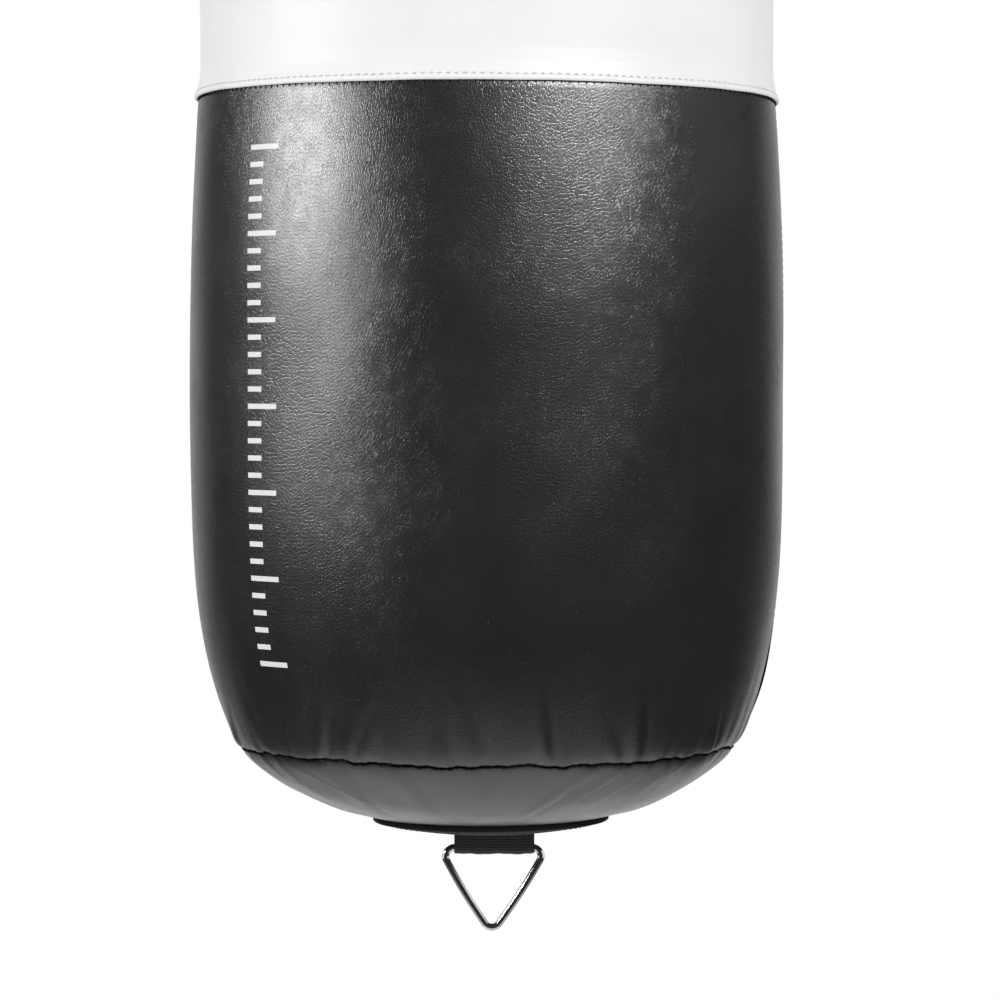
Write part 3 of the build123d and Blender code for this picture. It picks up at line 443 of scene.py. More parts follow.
def piece(name, grids, slot, material, replaces=(), body="bag", **mend):
    """One mesh from grids of (points, u, v, wrap_rows); u and v are the cloth's own measure."""
    verts, quads, uvs, start = [], [], [], 0
    for points, u, v, wrap_rows in grids:
        faces, i, j = grid_faces(*points.shape[:2], wrap_rows)
        verts.append(points.reshape(-1, 3))
        quads.append(faces + start)
        uvs.append(np.stack([np.stack([u[j + p], v[i + q]], -1) for p, q in CORNERS], 1))
        start += len(verts[-1])
    mesh = new_mesh(name, np.concatenate(verts), np.concatenate(quads), np.concatenate(uvs), **mend)
    return declare(name, mesh, material, replaces, body)


def stitches(name, rows, sizes, colours, slot="black_leather", long=None, radius=None, sink=0.3, bow=1.25):
    """Rows of stitches: each a six-sided tube on a bow, lift (1 - x^2) above its ends, which dive into the cloth."""
    long, radius = long or sizes.stitch_length, radius or sizes.thread_radius
    places, along, out = (np.concatenate(part)[:, None] for part in zip(*rows))
    steps, sides = 7, 6
    x, around = np.linspace(-1, 1, steps), evenly(sides)
    thick = radius * np.sqrt(np.clip(1 - x**6, 0, None))[:, None]
    lift = radius * (bow * (1 - x**2) - sink)
    centre = places + along * (x * long / 2)[:, None] + out * lift[:, None]
    aside = np.cross(out, along)[:, None]
    tubes = centre[:, :, None] + aside * (thick * np.cos(around))[..., None]
    tubes = tubes + out[:, None] * (thick * np.sin(around))[..., None]
    quads, i, j = grid_faces(steps, sides, False)
    count = len(places)
    every = (quads[None] + np.arange(count)[:, None, None] * steps * sides).reshape(-1, 4)
    uv = np.stack([np.stack([(i + q) / sides, (j + p) / sides], -1) for p, q in CORNERS], 1)
    mesh = new_mesh(name, tubes.reshape(-1, 3), every, np.tile(uv, (count, 1, 1)))
    return declare(name, mesh, thread_of(slot, colours), sharp=80.0)


def ring_places(r, h, pitch, phase=0.0, tilt=0.0, wander=None):
    """Places of stitches on a ring, level or wandering, with the way they run, tilted up by tilt, and the way out."""
    count = int(round(2 * np.pi * r / pitch))
    a = (np.arange(count) + phase) * 2 * np.pi / count
    out, ahead = facing(a)
    z = BASE_Z + h + (wander(a) if wander else 0.0)
    return polar(a, r, z), ahead * math.cos(tilt) + UP * math.sin(tilt), out


def row_places(line, out, pitch):
    """Places of stitches along a line of points, with the way they run and the given way out."""
    total = run_of(line)[-1]
    count = max(int(total / pitch), 1)
    at = (np.arange(count) + 0.5) * total / count
    places = at_run(line, at)
    along = unit(at_run(line, at + 1e-4) - at_run(line, at - 1e-4))
    return places, along, squared(np.broadcast_to(out, places.shape), along)


# ======== shader effects
class Wire:
    """An output of a node. Arithmetic on wires adds maths nodes, and [key] is another output of the same node."""

    def __init__(self, made, key=0):
        self.made, self.key, self.tree = made, key, made.id_data

    def __getitem__(self, key):
        return Wire(self.made, key)

    def maths(self, operation, other=0.0, swapped=False):
        """A maths node on this wire and another value, or on both swapped."""
        first, second = (other, self) if swapped else (self, other)
        return node(self.tree, "ShaderNodeMath", {0: first, 1: second}, operation=operation)

    __add__ = functools.partialmethod(maths, "ADD")
    __sub__ = functools.partialmethod(maths, "SUBTRACT")
    __rsub__ = functools.partialmethod(maths, "SUBTRACT", swapped=True)
    __mul__ = functools.partialmethod(maths, "MULTIPLY")
    __truediv__ = functools.partialmethod(maths, "DIVIDE")
    __rtruediv__ = functools.partialmethod(maths, "DIVIDE", swapped=True)

    def vector(self, operation, other=(0.0, 0.0, 0.0)):
        """A vector maths node on this wire and another vector."""
        return node(self.tree, "ShaderNodeVectorMath", {0: self, 1: other}, operation=operation)

    def remap(self, low, high, to_low=0.0, to_high=1.0, kind="LINEAR"):
        """The range from low to high brought to the range from to_low to to_high, and held beyond it."""
        ranges = {"Value": self, "From Min": low, "From Max": high, "To Min": to_low, "To Max": to_high}
        return node(self.tree, "ShaderNodeMapRange", ranges, interpolation_type=kind)

    smooth = functools.partialmethod(remap, kind="SMOOTHSTEP")

    def mix(self, a, b):
        """Mix of two values by this share."""
        return node(self.tree, "ShaderNodeMix", {0: self, 2: a, 3: b})

    def blend(self, a, b):
        """Mix of two colours by this share."""
        return node(self.tree, "ShaderNodeMix", {0: self, 6: a, 7: b}, data_type="RGBA")[2]

    def parts(self):
        """The three parts of this vector."""
        split = node(self.tree, "ShaderNodeSeparateXYZ", {0: self})
        return split[0], split[1], split[2]


def fill(made, inputs):
    """Gives a node's inputs their values, or links them from wires."""
    for key, value in inputs.items():
        if isinstance(value, Wire):
            made.id_data.links.new(value.made.outputs[value.key], made.inputs[key])
        else:
            made.inputs[key].default_value = value


def node(tree, kind, inputs=None, **facts):
    """A node with its facts set and its inputs given, as the wire of its first output."""
    made = tree.nodes.new(kind)
    for key, value in facts.items():
        setattr(made, key, value)
    fill(made, inputs or {})
    return Wire(made)


def noise(place, scale, detail, roughness=0.5, distortion=0.0, dimensions="3D"):
    """Soft noise at a place."""
    inputs = {"Vector": place, "Scale": scale, "Detail": detail, "Roughness": roughness, "Distortion": distortion}
    return node(place.tree, "ShaderNodeTexNoise", inputs, noise_dimensions=dimensions)


flat_noise = functools.partial(noise, dimensions="2D")


def bump(height, distance, below=None):
    """Relief of a height over a distance, on top of the relief below it."""
    inputs = {"Strength": 1.0, "Distance": distance, "Height": height}
    return node(height.tree, "ShaderNodeBump", {**inputs, "Normal": below} if below else inputs)


def effect(name, inputs):
    """A shared effect: a node group made at first use; its function puts it into a tree. None stands for a vector."""

    def shared(build):
        @functools.wraps(build)
        def placed(tree, **given):
            if name not in bpy.data.node_groups:
                group = bpy.data.node_groups.new(name, "ShaderNodeTree")
                for label, default in inputs.items():
                    kind = "NodeSocketVector" if default is None else "NodeSocketFloat"
                    socket = group.interface.new_socket(label, in_out="INPUT", socket_type=kind)
                    if default is not None:
                        socket.default_value = default
                results = build(node(group, "NodeGroupInput"))
                for label in results:
                    group.interface.new_socket(label, in_out="OUTPUT", socket_type="NodeSocketFloat")
                node(group, "NodeGroupOutput", results)
            return node(tree, "ShaderNodeGroup", given, node_tree=bpy.data.node_groups[name])

        return placed

    return shared


@effect("Leather grain", {"UV": None, "Pebble": 0.0014, "Folds": 110.0})
def leather_grain(given):
    """Grain of coated leather on its own measure: small pebbles drawn out on a slant, calmer in round spots,
    with hair-fine folds that come and go. Height rises on the pebbles, Crease marks the folds."""
    uv = given["UV"]
    across, along, _ = uv.parts()
    drawn = node(given.tree, "ShaderNodeCombineXYZ", {0: across - along * 0.38, 1: along * 0.62})
    bend = flat_noise(drawn, 120.0, 2.0)["Color"].vector("SUBTRACT", (0.5, 0.5, 0.5))
    place = drawn.vector("ADD", bend.vector("MULTIPLY", (0.0013, 0.0013, 0.0)))
    scale = 1.0 / given["Pebble"]
    cells = node(given.tree, "ShaderNodeTexVoronoi", {"Vector": place, "Scale": scale}, voronoi_dimensions="2D",
                 feature="DISTANCE_TO_EDGE")
    pebble = cells["Distance"].smooth(0.0, 0.22)
    fine = flat_noise(place, scale * 0.9, 2.0, 0.6)
    calm = flat_noise(uv, 85.0, 1.0).smooth(0.34, 0.6, 0.75, 1.0)
    folds = flat_noise(place, given["Folds"], 3.0, 0.55, 0.6)
    crease = (folds - 0.5).maths("ABSOLUTE").smooth(0.0, 0.035, 1.0, 0.0)
    patchy = flat_noise(uv, 22.0, 3.0)
    return {"Height": ((pebble - 0.75) * 0.45 + (fine - 0.5) * 0.8) * calm,
            "Crease": crease * patchy.smooth(0.42, 0.68), "Patch": patchy}


@effect("Dust specks", {"Vector": None, "Per metre": 160.0, "Share": 0.25})
def dust_specks(given):
    """Specks of dust: a few small points kept from a field of cells by their random value."""
    cells = node(given.tree, "ShaderNodeTexVoronoi", {"Vector": given["Vector"], "Scale": given["Per metre"]})
    keep = node(given.tree, "ShaderNodeSeparateColor", {"Color": cells["Color"]}).maths("LESS_THAN", given["Share"])
    return {"Mask": cells["Distance"].remap(0.03, 0.07, 1.0, 0.0) * keep}


@effect("Woven ribs", {"UV": None, "Rib": 0.0016, "Cord": 0.0009})
def woven_ribs(given):
    """Woven tape on its own measure: ribs across, finer cords along, and a smooth selvedge at both edges."""
    uv = given["UV"]
    across, along, _ = uv.parts()
    wobble = (noise(uv, 160.0, 2.0) - 0.5) * 0.0007
    rib = ((along + wobble) / given["Rib"] * math.tau).maths("SINE")
    cord = (across / given["Cord"] * math.tau).maths("SINE")
    fuzz = noise(uv, 2600.0, 3.0)
    edge = across.maths("ABSOLUTE").remap(0.44 * TAPE_WIDTH, 0.46 * TAPE_WIDTH, 1.0, 0.25)
    height = rib * 0.34 * edge + cord * 0.1 + 0.5 + fuzz * 0.25
    # Thread: the height as a share, which the tape's colour turns into painted highlight and painted shade
    return {"Height": height, "Thread": height.remap(0.2, 1.0), "Fuzz": fuzz}


@effect("Needle holes", {"UV": None, "Pitch": 0.0049, "Row": 0.0, "Size": 0.0007})
def needle_holes(given):
    """Needle holes on the cloth's own measure: a round dip at every pitch along one row."""
    along, up, _ = given["UV"].parts()
    beat = ((along / given["Pitch"]).maths("FRACT") - 0.5) * given["Pitch"]
    off = up - given["Row"]
    far = (beat * beat + off * off).maths("SQRT")
    return {"Hole": far.smooth(given["Size"] * 0.4, given["Size"], 1.0, 0.0)}


@effect("Metal wear", {"Vector": None, "Cloud": 90.0})
def metal_wear(given):
    """Wear of plated metal: long fine scratches, cloudy smudges and small pits."""
    place = given["Vector"]
    scratch = noise(place.vector("MULTIPLY", (1.0, 1.0, 0.12)), 1500.0, 3.0, 0.7)
    pits = noise(place, 2300.0, 2.0).remap(0.62, 0.75, 0.0, -1.0)
    return {"Height": scratch * 0.5 + pits * 0.6, "Smudge": noise(place, given["Cloud"], 4.0).smooth(0.35, 0.7)}


# ======== materials
def rgba(c, gain=1.0):
    """A colour times a gain, with full alpha."""
    return (*(min(part * gain, 1.0) for part in c), 1.0)


def cloth_of(tree):
    """The cloth's own measure."""
    return node(tree, "ShaderNodeUVMap", uv_map="cloth")


def place_of(tree):
    """The place on the object."""
    return node(tree, "ShaderNodeTexCoord")["Object"]


def material(build):
    """A material that is made once under its name; build gives the inputs of its shader."""

    @functools.wraps(build)
    def named(name, *args, **facts):
        if name not in bpy.data.materials:
            mat = bpy.data.materials.new(name)
            mat.use_nodes = True
            shader = next(n for n in mat.node_tree.nodes if n.type == "BSDF_PRINCIPLED")
            fill(shader, build(mat.node_tree, *args, **facts))
        return bpy.data.materials[name]

    return named


@material
def leather(tree, base, rough, pebble=0.0014, grain=0.00012, crease=0.000012, lighter=1.25, dust=0.2, row=None,
            pitch=0.0049, gloss=1.5, lines=0.3):
    """Coated leather: grain and creases in relief, duller in the creases and darkened in them with painted shade, a
    few specks, needle holes in a row darkened with painted shade.
    """
    hide = leather_grain(tree, UV=cloth_of(tree), Pebble=pebble)
    patch, fold = hide["Patch"], hide["Crease"]
    shade = patch.remap(0.3, 0.7).blend(rgba(base), rgba(base, lighter))
    # painted shade: the colour is darkened in the grain's creases
    shade = (fold * lines).blend(shade, rgba(base, 0.7))
    shade = (dust_specks(tree, Vector=place_of(tree)) * dust).blend(shade, rgba((0.7, 0.7, 0.7)))
    relief = bump(hide["Height"], grain, bump(1.0 - fold, crease))
    if row is not None:
        hole = needle_holes(tree, UV=cloth_of(tree), Row=row, Pitch=pitch)
        # painted shade: the needle holes are darkened in colour, standing in for their shadow
        shade = (hole * 0.35).blend(shade, rgba(base, 0.3))
        relief = bump(1.0 - hole, 0.0003, relief)
    dull = patch.remap(0.3, 0.7, rough - 0.008, rough + 0.012) + fold * 0.08
    return {"Base Color": shade, "Roughness": dull, "Normal": relief, "IOR": gloss}


@material
def woven(tree, base, rib=0.0016, cord=0.0009, relief=0.00030):
    """Woven tape: ribs and cords in relief, with painted highlight on the threads' crowns and painted shade in the
    dips between them.
    """
    weave = woven_ribs(tree, UV=cloth_of(tree), Rib=rib, Cord=cord)
    # painted highlight on the crowns and painted shade in the dips: the colour follows the weave's height
    return {"Base Color": weave["Thread"].blend(rgba(base, 0.35), rgba(base, 2.2)),
            "Roughness": weave["Fuzz"].remap(0.3, 0.7, 0.64, 0.82), "Normal": bump(weave["Height"], relief),
            "Sheen Weight": 0.12, "Sheen Roughness": 0.5}


@material
def thread(tree, base):
    """Sewing thread: a twist that runs along each stitch, in relief, and in colour as painted highlight on its ridges
    and painted shade in its grooves.
    """
    along, around, _ = cloth_of(tree).parts()
    twist = ((along * 5.0 + around) * math.tau).maths("SINE")
    # painted highlight and painted shade: the colour follows the twist's relief
    return {"Base Color": twist.remap(-1.0, 1.0).blend(rgba(base, 0.6), rgba(base, 1.5)),
            "Normal": bump(twist, 0.00008), "Roughness": 0.6, "IOR": 1.22}


@material
def printed(tree, base):
    """Printed ink on leather: the leather's own grain, with painted shade in a few of its creases."""
    hide = leather_grain(tree, UV=cloth_of(tree))
    # painted shade: the ink is darkened in the grain's creases
    return {"Base Color": (hide["Crease"] * 0.12).blend(rgba(base), rgba(base, 0.7)),
            "Roughness": hide["Patch"].remap(0.3, 0.7, 0.42, 0.55), "Normal": bump(hide["Height"], 0.00004)}


@material
def metal(tree, base, rough, spread, relief, metallic=1.0, cloud=90.0, darker=0.75):
    """Plated or painted metal: smudged sheen, fine scratches and pits."""
    wear = metal_wear(tree, Vector=place_of(tree), Cloud=cloud)
    smudge = wear["Smudge"]
    return {"Base Color": smudge.blend(rgba(base), rgba(base, darker)), "Normal": bump(wear["Height"], relief),
            "Roughness": smudge.remap(0.0, 1.0, rough, rough + spread), "Metallic": metallic}


@material
def crumbly(tree, base, per_metre, relief, lighter):
    """Foam, packed rag or sand: cells and finer fuzz in relief, with painted highlight on their tops and painted shade
    in their hollows.
    """
    place = place_of(tree)
    cells = node(tree, "ShaderNodeTexVoronoi", {"Vector": place, "Scale": per_metre})
    height = cells["Distance"] + noise(place, per_metre * 3, 4.0) * 0.5
    # painted highlight and painted shade: the colour follows the relief's height
    return {"Base Color": height.remap(0.2, 1.0).blend(rgba(base, 0.7), rgba(base, lighter)),
            "Normal": bump(height, relief), "Roughness": 0.85}


# ======== leather pieces
def black_skin(colours):
    """The grained black leather of the bag."""
    return leather("black_bag_leather", colours.black_leather, 0.30, gloss=1.9)


def thread_of(slot, colours):
    """The black or white thread in the cloth of a slot."""
    tone = slot.split("_")[0]
    return thread(f"{tone}_sewing_thread", getattr(colours, f"{tone}_thread"))


def crowded(count, even):
    """Shares from 0 to 1 that lie closer near 0: even t + (1 - even) t^2."""
    t = np.linspace(0, 1, count)
    return even * t + (1 - even) * t**2


def skin_points(outer, rest, push, lift):
    """A turned wall and its profile: the outer rows are pushed and lifted, the rest follow the plain profile."""
    still = np.zeros((len(rest), SKIN_COLUMNS))
    profile = np.concatenate([outer, rest])
    return turned(profile, SKIN_COLUMNS, np.concatenate([push, still]), np.concatenate([lift, still])), profile


def make_lower_leather(sizes, colours):
    """Lower skin: a closed wall whose outside carries the relief, with its lap under the hem and a turned-in edge."""
    a, h = angles(SKIN_COLUMNS), SEAM_H + crowded(158, 0.22)[:, None] * (HEM_H - SEAM_H)
    low, high, back, inside = HEM_H + 0.010, HEM_H + 0.023, LAP_R - SKIN, SEAM_H + SKIN
    lap, foot = [(LAP_R, low), (LAP_R, high), (back, high), (back, low)], [(FLANGE_R, inside), (FLANGE_R, SEAM_H)]
    down = np.linspace(HEM_H, inside, 38)[:, None]
    rest = np.concatenate([lap, np.hstack([wall_radius(down) - SKIN, down]), foot])
    lift = seam_wander(a, sizes.seam_wave) * np.exp(-(h - SEAM_H) / SEAM_FADE)
    lift += hem_wander(a) * np.exp(-(HEM_H - h) / 0.006)
    points, profile = skin_points(np.hstack([wall_radius(h), h]), rest, lower_relief(a, h, sizes), lift)
    grid = points, girth(SKIN_COLUMNS, BELLY_R), np.append(run_of(profile), 0.0), True
    skin = piece("lower_leather", [grid], "black_leather", black_skin(colours), ("lower_panel",), merge=False)


def make_base_leather(sizes, colours):
    """Base skin: the dome's arcs with relief towards the seam, a turned-in edge and its inner face."""
    s, edge = 1 - crowded(112, 0.28)[::-1], SEAM_H - 0.0001
    outer, inner = dome_profile(s), dome_profile(np.linspace(0.965, 0, 30), SKIN)
    outer[-1, 1] = edge
    rest = np.concatenate([[(FLANGE_R, edge), (FLANGE_R, edge - SKIN)], inner])
    a, s = angles(SKIN_COLUMNS), s[:, None]
    lift = seam_wander(a, sizes.seam_wave) * np.exp(-(1 - s) * DOME_LENGTH / SEAM_FADE)
    points, profile = skin_points(outer, rest, base_relief(a, s, sizes), lift)
    grid = points, girth(SKIN_COLUMNS, SEAM_R), run_of(profile), False
    skin = piece("base_leather", [grid], "black_leather", black_skin(colours), ("base_panel",), recalc=False)


def hem_line():
    """Folded hem of the upper leather, from its inner corner round its edge and in over its stitches."""
    fold = [(-0.0023, 0.0010), (-0.0020, 0.0001), (-0.0006, 0.0), (0.0001, 0.0007), (0.0002, 0.0018),
            (-0.0002, 0.0027), (-0.0012, 0.0034), (-0.0013, 0.0039), (-0.0014, 0.0048), (-0.0022, 0.0075),
            (-0.0031, 0.0120)]
    return softened([*((HEM_EDGE_R + out, HEM_H + up) for out, up in fold), (UPPER_R, HEM_H + 0.0190)], 60)


def make_upper_leather(sizes, colours):
    """Upper skin: the folded hem, a straight wall up under the collar, and back down inside as one closed wall."""
    hem, top = hem_line(), COLLAR_H + 0.020
    wall = np.stack([np.full(70, UPPER_R), np.linspace(HEM_H + 0.021, top, 70)], -1)
    back = np.stack([np.full(16, UPPER_R - SKIN), np.linspace(top, HEM_H + 0.0105, 16)], -1)
    profile = np.concatenate([hem, wall, back])
    a, h = angles(SKIN_COLUMNS), profile[:, 1:]
    lift = hem_wander(a) * np.exp(-np.clip(h - HEM_H - 0.005, 0, None) / 0.010)
    push = lumps(a, h, sizes.lump_height) * np.clip((h - HEM_H - 0.02) / 0.04, 0, 1)
    push *= np.clip((COLLAR_H - 0.01 - h) / 0.04, 0, 1)
    push[: len(hem)] = push[-len(back):] = 0.0
    v = closed(profile[:, 1]) - HEM_H
    v[-len(back) - 1: -1] += 2.0
    count = round(2 * np.pi * HEM_EDGE_R / sizes.stitch_pitch)
    finish = leather("white_bag_leather", colours.white_leather, 0.42, pebble=0.0018, grain=0.000012, crease=0.000003,
                     lighter=1.03, dust=0.0, row=sizes.hem_stitch_rise, pitch=2 * np.pi * HEM_EDGE_R / count,
                     gloss=1.3, lines=0.04)
    grid = turned(profile, SKIN_COLUMNS, push, lift), girth(SKIN_COLUMNS, HEM_EDGE_R), v, True
    skin = piece("upper_leather", [grid], "white_leather", finish, ("upper_panel",), merge=False)


def make_side_strips(sizes, colours):
    """Two cover strips sewn over the side seam, black below the hem and white above it, with edge stitches."""

    def lower(a, h):
        """The lower wall with its relief; the strip's front edge stands loose above the base seam."""
        edge = np.clip((STRIP_MID - a) / (0.5 * (STRIP_TO - STRIP_FROM)), 0, 1)
        loose = 0.0024 * edge**2 * np.exp(-(((h - 0.083) / 0.032) ** 2))
        return wall_radius(h), lower_relief(a, h, sizes) + loose

    def upper(a, h):
        """The upper wall, which is straight and plain here."""
        return UPPER_R, 0 * h

    strips = (
        ("lower", "black", lower, black_skin(colours), 0.0600, HEM_H - SKIN, 130, 0.0640, HEM_H - 0.004),
        ("upper", "white", upper, bpy.data.materials["white_bag_leather"], HEM_H + 0.024, COLLAR_H - SKIN, 60,
         HEM_H + 0.027, COLLAR_H - 0.005),
    )
    section = tape_section(1.0, 1.0, 30)
    for tag, tone, wall, finish, low, high, count, *_ in strips:
        h = np.linspace(low, high, count)
        a = STRIP_MID + section[:, 0] * (STRIP_TO - STRIP_FROM) * -1
        r, relief = wall(a, h[:, None])
        points = closed_ends(polar(a, r + 0.00004 + SKIN * (section[:, 1] + 0.5) + relief, BASE_Z + h[:, None]))
        grid = points, closed(a) * BELLY_R, capped(h), False
        piece(f"{tag}_cover_strip", [grid], f"{tone}_leather", finish, (f"{tag}_strip",))
    inset = 0.0032 / BELLY_R
    for tag, tone, wall, *_, low, high in strips:
        rows, h = [], np.linspace(low, high, 240)
        for a in (STRIP_FROM + inset, STRIP_TO - inset):
            r, relief = wall(np.array(a), h)
            rows.append(row_places(polar(a, r + relief + SKIN + OFF, BASE_Z + h), facing(a)[0], sizes.stitch_pitch))
        stitches(f"{tag}_strip_stitches", rows, sizes, colours, f"{tone}_leather", sink=1.0, bow=0.7)


def make_seams(sizes, colours):
    """Thread of the bag's round seams: base seam, hem's top stitch and edge stitch, collar's double row."""
    pitch = sizes.stitch_pitch
    count = int(round(2 * np.pi * SEAM_R / (pitch * 0.92)))
    a = evenly(count)
    places = polar(a, SEAM_R, BASE_Z + SEAM_H - 0.0002 + seam_wander(a, sizes.seam_wave))
    tilt = np.where(np.arange(count) % 2, 0.16, -0.16)[:, None]
    along = facing(a)[1] * np.cos(tilt) + UP * np.sin(tilt)
    row = places, along, squared(polar(a, 0.86, -0.51), along)
    stitches("base_seam_stitches", [row], sizes, colours, long=0.0042, radius=0.00042)

    rise, line = sizes.hem_stitch_rise, hem_line()[8:]
    r = float(np.interp(rise, line[:, 1] - HEM_H, line[:, 0]))
    row = ring_places(r, HEM_H + rise, pitch, wander=hem_wander)
    stitches("hem_top_stitches", [row], sizes, colours, "white_leather", 0.0030, 0.0003)
    row = ring_places(float(wall_radius(HEM_H)) + 0.0001, HEM_H - 0.0006, pitch, 0.5, math.pi / 2, hem_wander)
    stitches("hem_edge_stitches", [row], sizes, colours, long=0.0019, radius=0.00034)

    rows = [ring_places(COLLAR_R + OFF, COLLAR_H + up, pitch, phase) for up, phase in ((0.0040, 0.0), (0.0072, 0.5))]
    stitches("collar_stitches", rows, sizes, colours)


def make_collar(sizes, colours):
    """Collar band, its rim piping and the lid: turned closed sections, and a ruled ring from slot to rim."""
    skin, inner = black_skin(colours), COLLAR_R - SKIN
    band = softened([(COLLAR_R - 0.0006, COLLAR_H), (COLLAR_R - 0.0001, COLLAR_H + 0.0002),
                     (COLLAR_R, COLLAR_H + 0.0020), (COLLAR_R, COLLAR_TOP), (inner, COLLAR_TOP),
                     (inner, COLLAR_H + 0.001), (inner + 0.0003, COLLAR_H)], 150, 0)
    columns, r, h, top = 360, band[:, :1], band[:, 1:], BELT_LOW - 0.004
    push = ((r > COLLAR_R - 0.0003) & (h < top)) * lumps(angles(columns), h, sizes.lump_height * 0.6)
    push = push * np.clip((h - COLLAR_H) / 0.004, 0, 1) * np.clip((top - h) / 0.006, 0, 1)
    grid = turned(band, columns, push), girth(columns, COLLAR_R), np.append(run_of(band), 0.0), True
    piece("collar_leather", [grid], "black_leather", skin, ("collar",), merge=False)

    t = np.linspace(0, -2 * np.pi, 20, endpoint=False)
    cord = np.stack([COLLAR_R - PIPING_R - PIPING_R * np.cos(t), RIM_H - PIPING_R + PIPING_R * np.sin(t)], -1)
    a, pick = evenly(SKIN_COLUMNS), np.random.default_rng(5)
    crimp = sum(pick.uniform(0.4, 1) * np.cos(k * a + pick.uniform(0, 6.28)) for k in (61, 97, 131, 163))
    push = 0.00005 * crimp[None] * (0.5 + 0.5 * np.cos(t))[:, None]
    grid = turned(cord, SKIN_COLUMNS, push), girth(SKIN_COLUMNS, COLLAR_R), closed(t) * -PIPING_R, True
    piece("rim_piping_leather", [grid], "black_leather", skin, ("rim_piping",))
    make_lid(sizes, colours)


def ruled(hole, rim, share):
    """Rows of plane points between a hole's outline and a rim's: (1 - share) hole + share rim."""
    return hole[None] * (1 - share[:, None, None]) + rim[None] * share[:, None, None]


def raised(flat, h):
    """Plane points put at their heights above the lowest leather."""
    return np.concatenate([flat, BASE_Z + h + 0 * flat[..., :1]], -1)


def rounded_slot(half_long, half_wide, t, power):
    """Outline of a slot: |x / long|^p + |y / wide|^p = 1."""
    c, s = np.cos(t), np.sin(t)
    return np.stack([half_long * np.sign(c) * np.abs(c) ** (2 / power),
                     half_wide * np.sign(s) * np.abs(s) ** (2 / power)], -1)


def make_lid(sizes, colours):
    """Lid: a ring ruled from the zip's slot out to the rim, its edges rounded, its stitches beside slot and rim."""
    columns, bevel = 288, 0.0004
    t, rows = evenly(columns), [1, 60, 1, 1, 16, 1]
    share = np.concatenate([[1.0], np.linspace(0.998, 0.004, 60), [0.0, 0.0], np.linspace(0.004, 0.998, 16), [1.0]])
    top, low = LID_TOP - bevel, LID_LOW + bevel
    h = np.repeat([top, LID_TOP, top, low, LID_LOW, low], rows)[:, None, None]
    points = raised(ruled(rounded_slot(SLOT_HALF, SLOT_WIDE, t, 8.0), arc(0.0, 0.0, LID_R, t), share), h)
    grid = points, girth(columns, LID_R), np.append(share, 1.0) * LID_R, True
    piece("lid_leather", [grid], "black_leather", black_skin(colours), ("top_lid",))
    t = np.linspace(0, 2 * np.pi, 900)
    outlines = rounded_slot(SLOT_HALF + 0.004, SLOT_WIDE + 0.0028, t, 8.0), arc(0.0, 0.0, LID_R - 0.006, t)
    rows = [row_places(raised(outline, LID_TOP), UP, sizes.stitch_pitch) for outline in outlines]
    stitches("lid_stitches", rows, sizes, colours)


def tape_grid(points, section, v):
    """A grid with closed ends for a section carried along a path, with the cloth's measure across and along it."""
    return closed_ends(points), closed(section[:, 0]), capped(v), False


def zip_cloth(colours):
    """The fine weave of the zip's tapes."""
    return woven("zip_tape_weave", colours.webbing, 0.0007, 0.0007, 0.0001)


def make_zip_tapes(sizes, colours):
    """Zip tapes: two thin woven bands under the lid, each a flat section carried along the zip."""
    low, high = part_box("zip_tapes")
    wide, x = 0.014, np.linspace(low.x, high.x, 90)
    section, grids = tape_section(wide, high.z - low.z, 12), []
    for y in (low.y + wide / 2, high.y - wide / 2):
        path = np.stack(np.broadcast_arrays(x, y, (low.z + high.z) / 2), -1)
        grids.append(tape_grid(carried(path, (0.0, 1.0, 0.0), UP, section), section, x))
    piece("zip_tape_cloth", grids, "zip_tape", zip_cloth(colours), ("zip_tapes",))


# ======== webbing
def webbing_cloth(colours):
    """The ribbed weave of belt and loops."""
    return woven("black_webbing_weave", colours.webbing)


def touch(point, hub, bend, turn):
    """Where a straight run from a point meets a circle; turn picks the side."""
    way = np.subtract(hub, point)
    far = np.hypot(*way)
    a = math.atan2(way[1], way[0]) + turn * math.asin(bend / far)
    return np.add(point, math.sqrt(far**2 - bend**2) * np.array([math.cos(a), math.sin(a)]))


def loop_line(hub, knee_a, end_a, knee_b, end_b, count):
    """Middle line of a tape from one end over a bar and back: straight runs, an arc round the bar, soft knees."""
    mid = (np.asarray(knee_a) + knee_b) / 2
    over = math.atan2(hub[1] - mid[1], hub[0] - mid[0])
    ends = []
    for knee, side in ((knee_a, -1), (knee_b, 1)):
        x, y = touch(knee, hub, TAPE_BEND, side) - hub
        ends.append(over + (math.atan2(y, x) - over + math.pi) % (2 * math.pi) - math.pi)
    round_bar = arc(*hub, TAPE_BEND, np.linspace(*ends, 40))
    return softened(np.concatenate([[end_a, knee_a], round_bar, [knee_b, end_b]]), count)


def tape_points(path, side, section):
    """A tape: its section carried along a path, flat towards the side."""
    return carried(path, side, np.cross(side, unit(np.gradient(path, axis=0))), section)


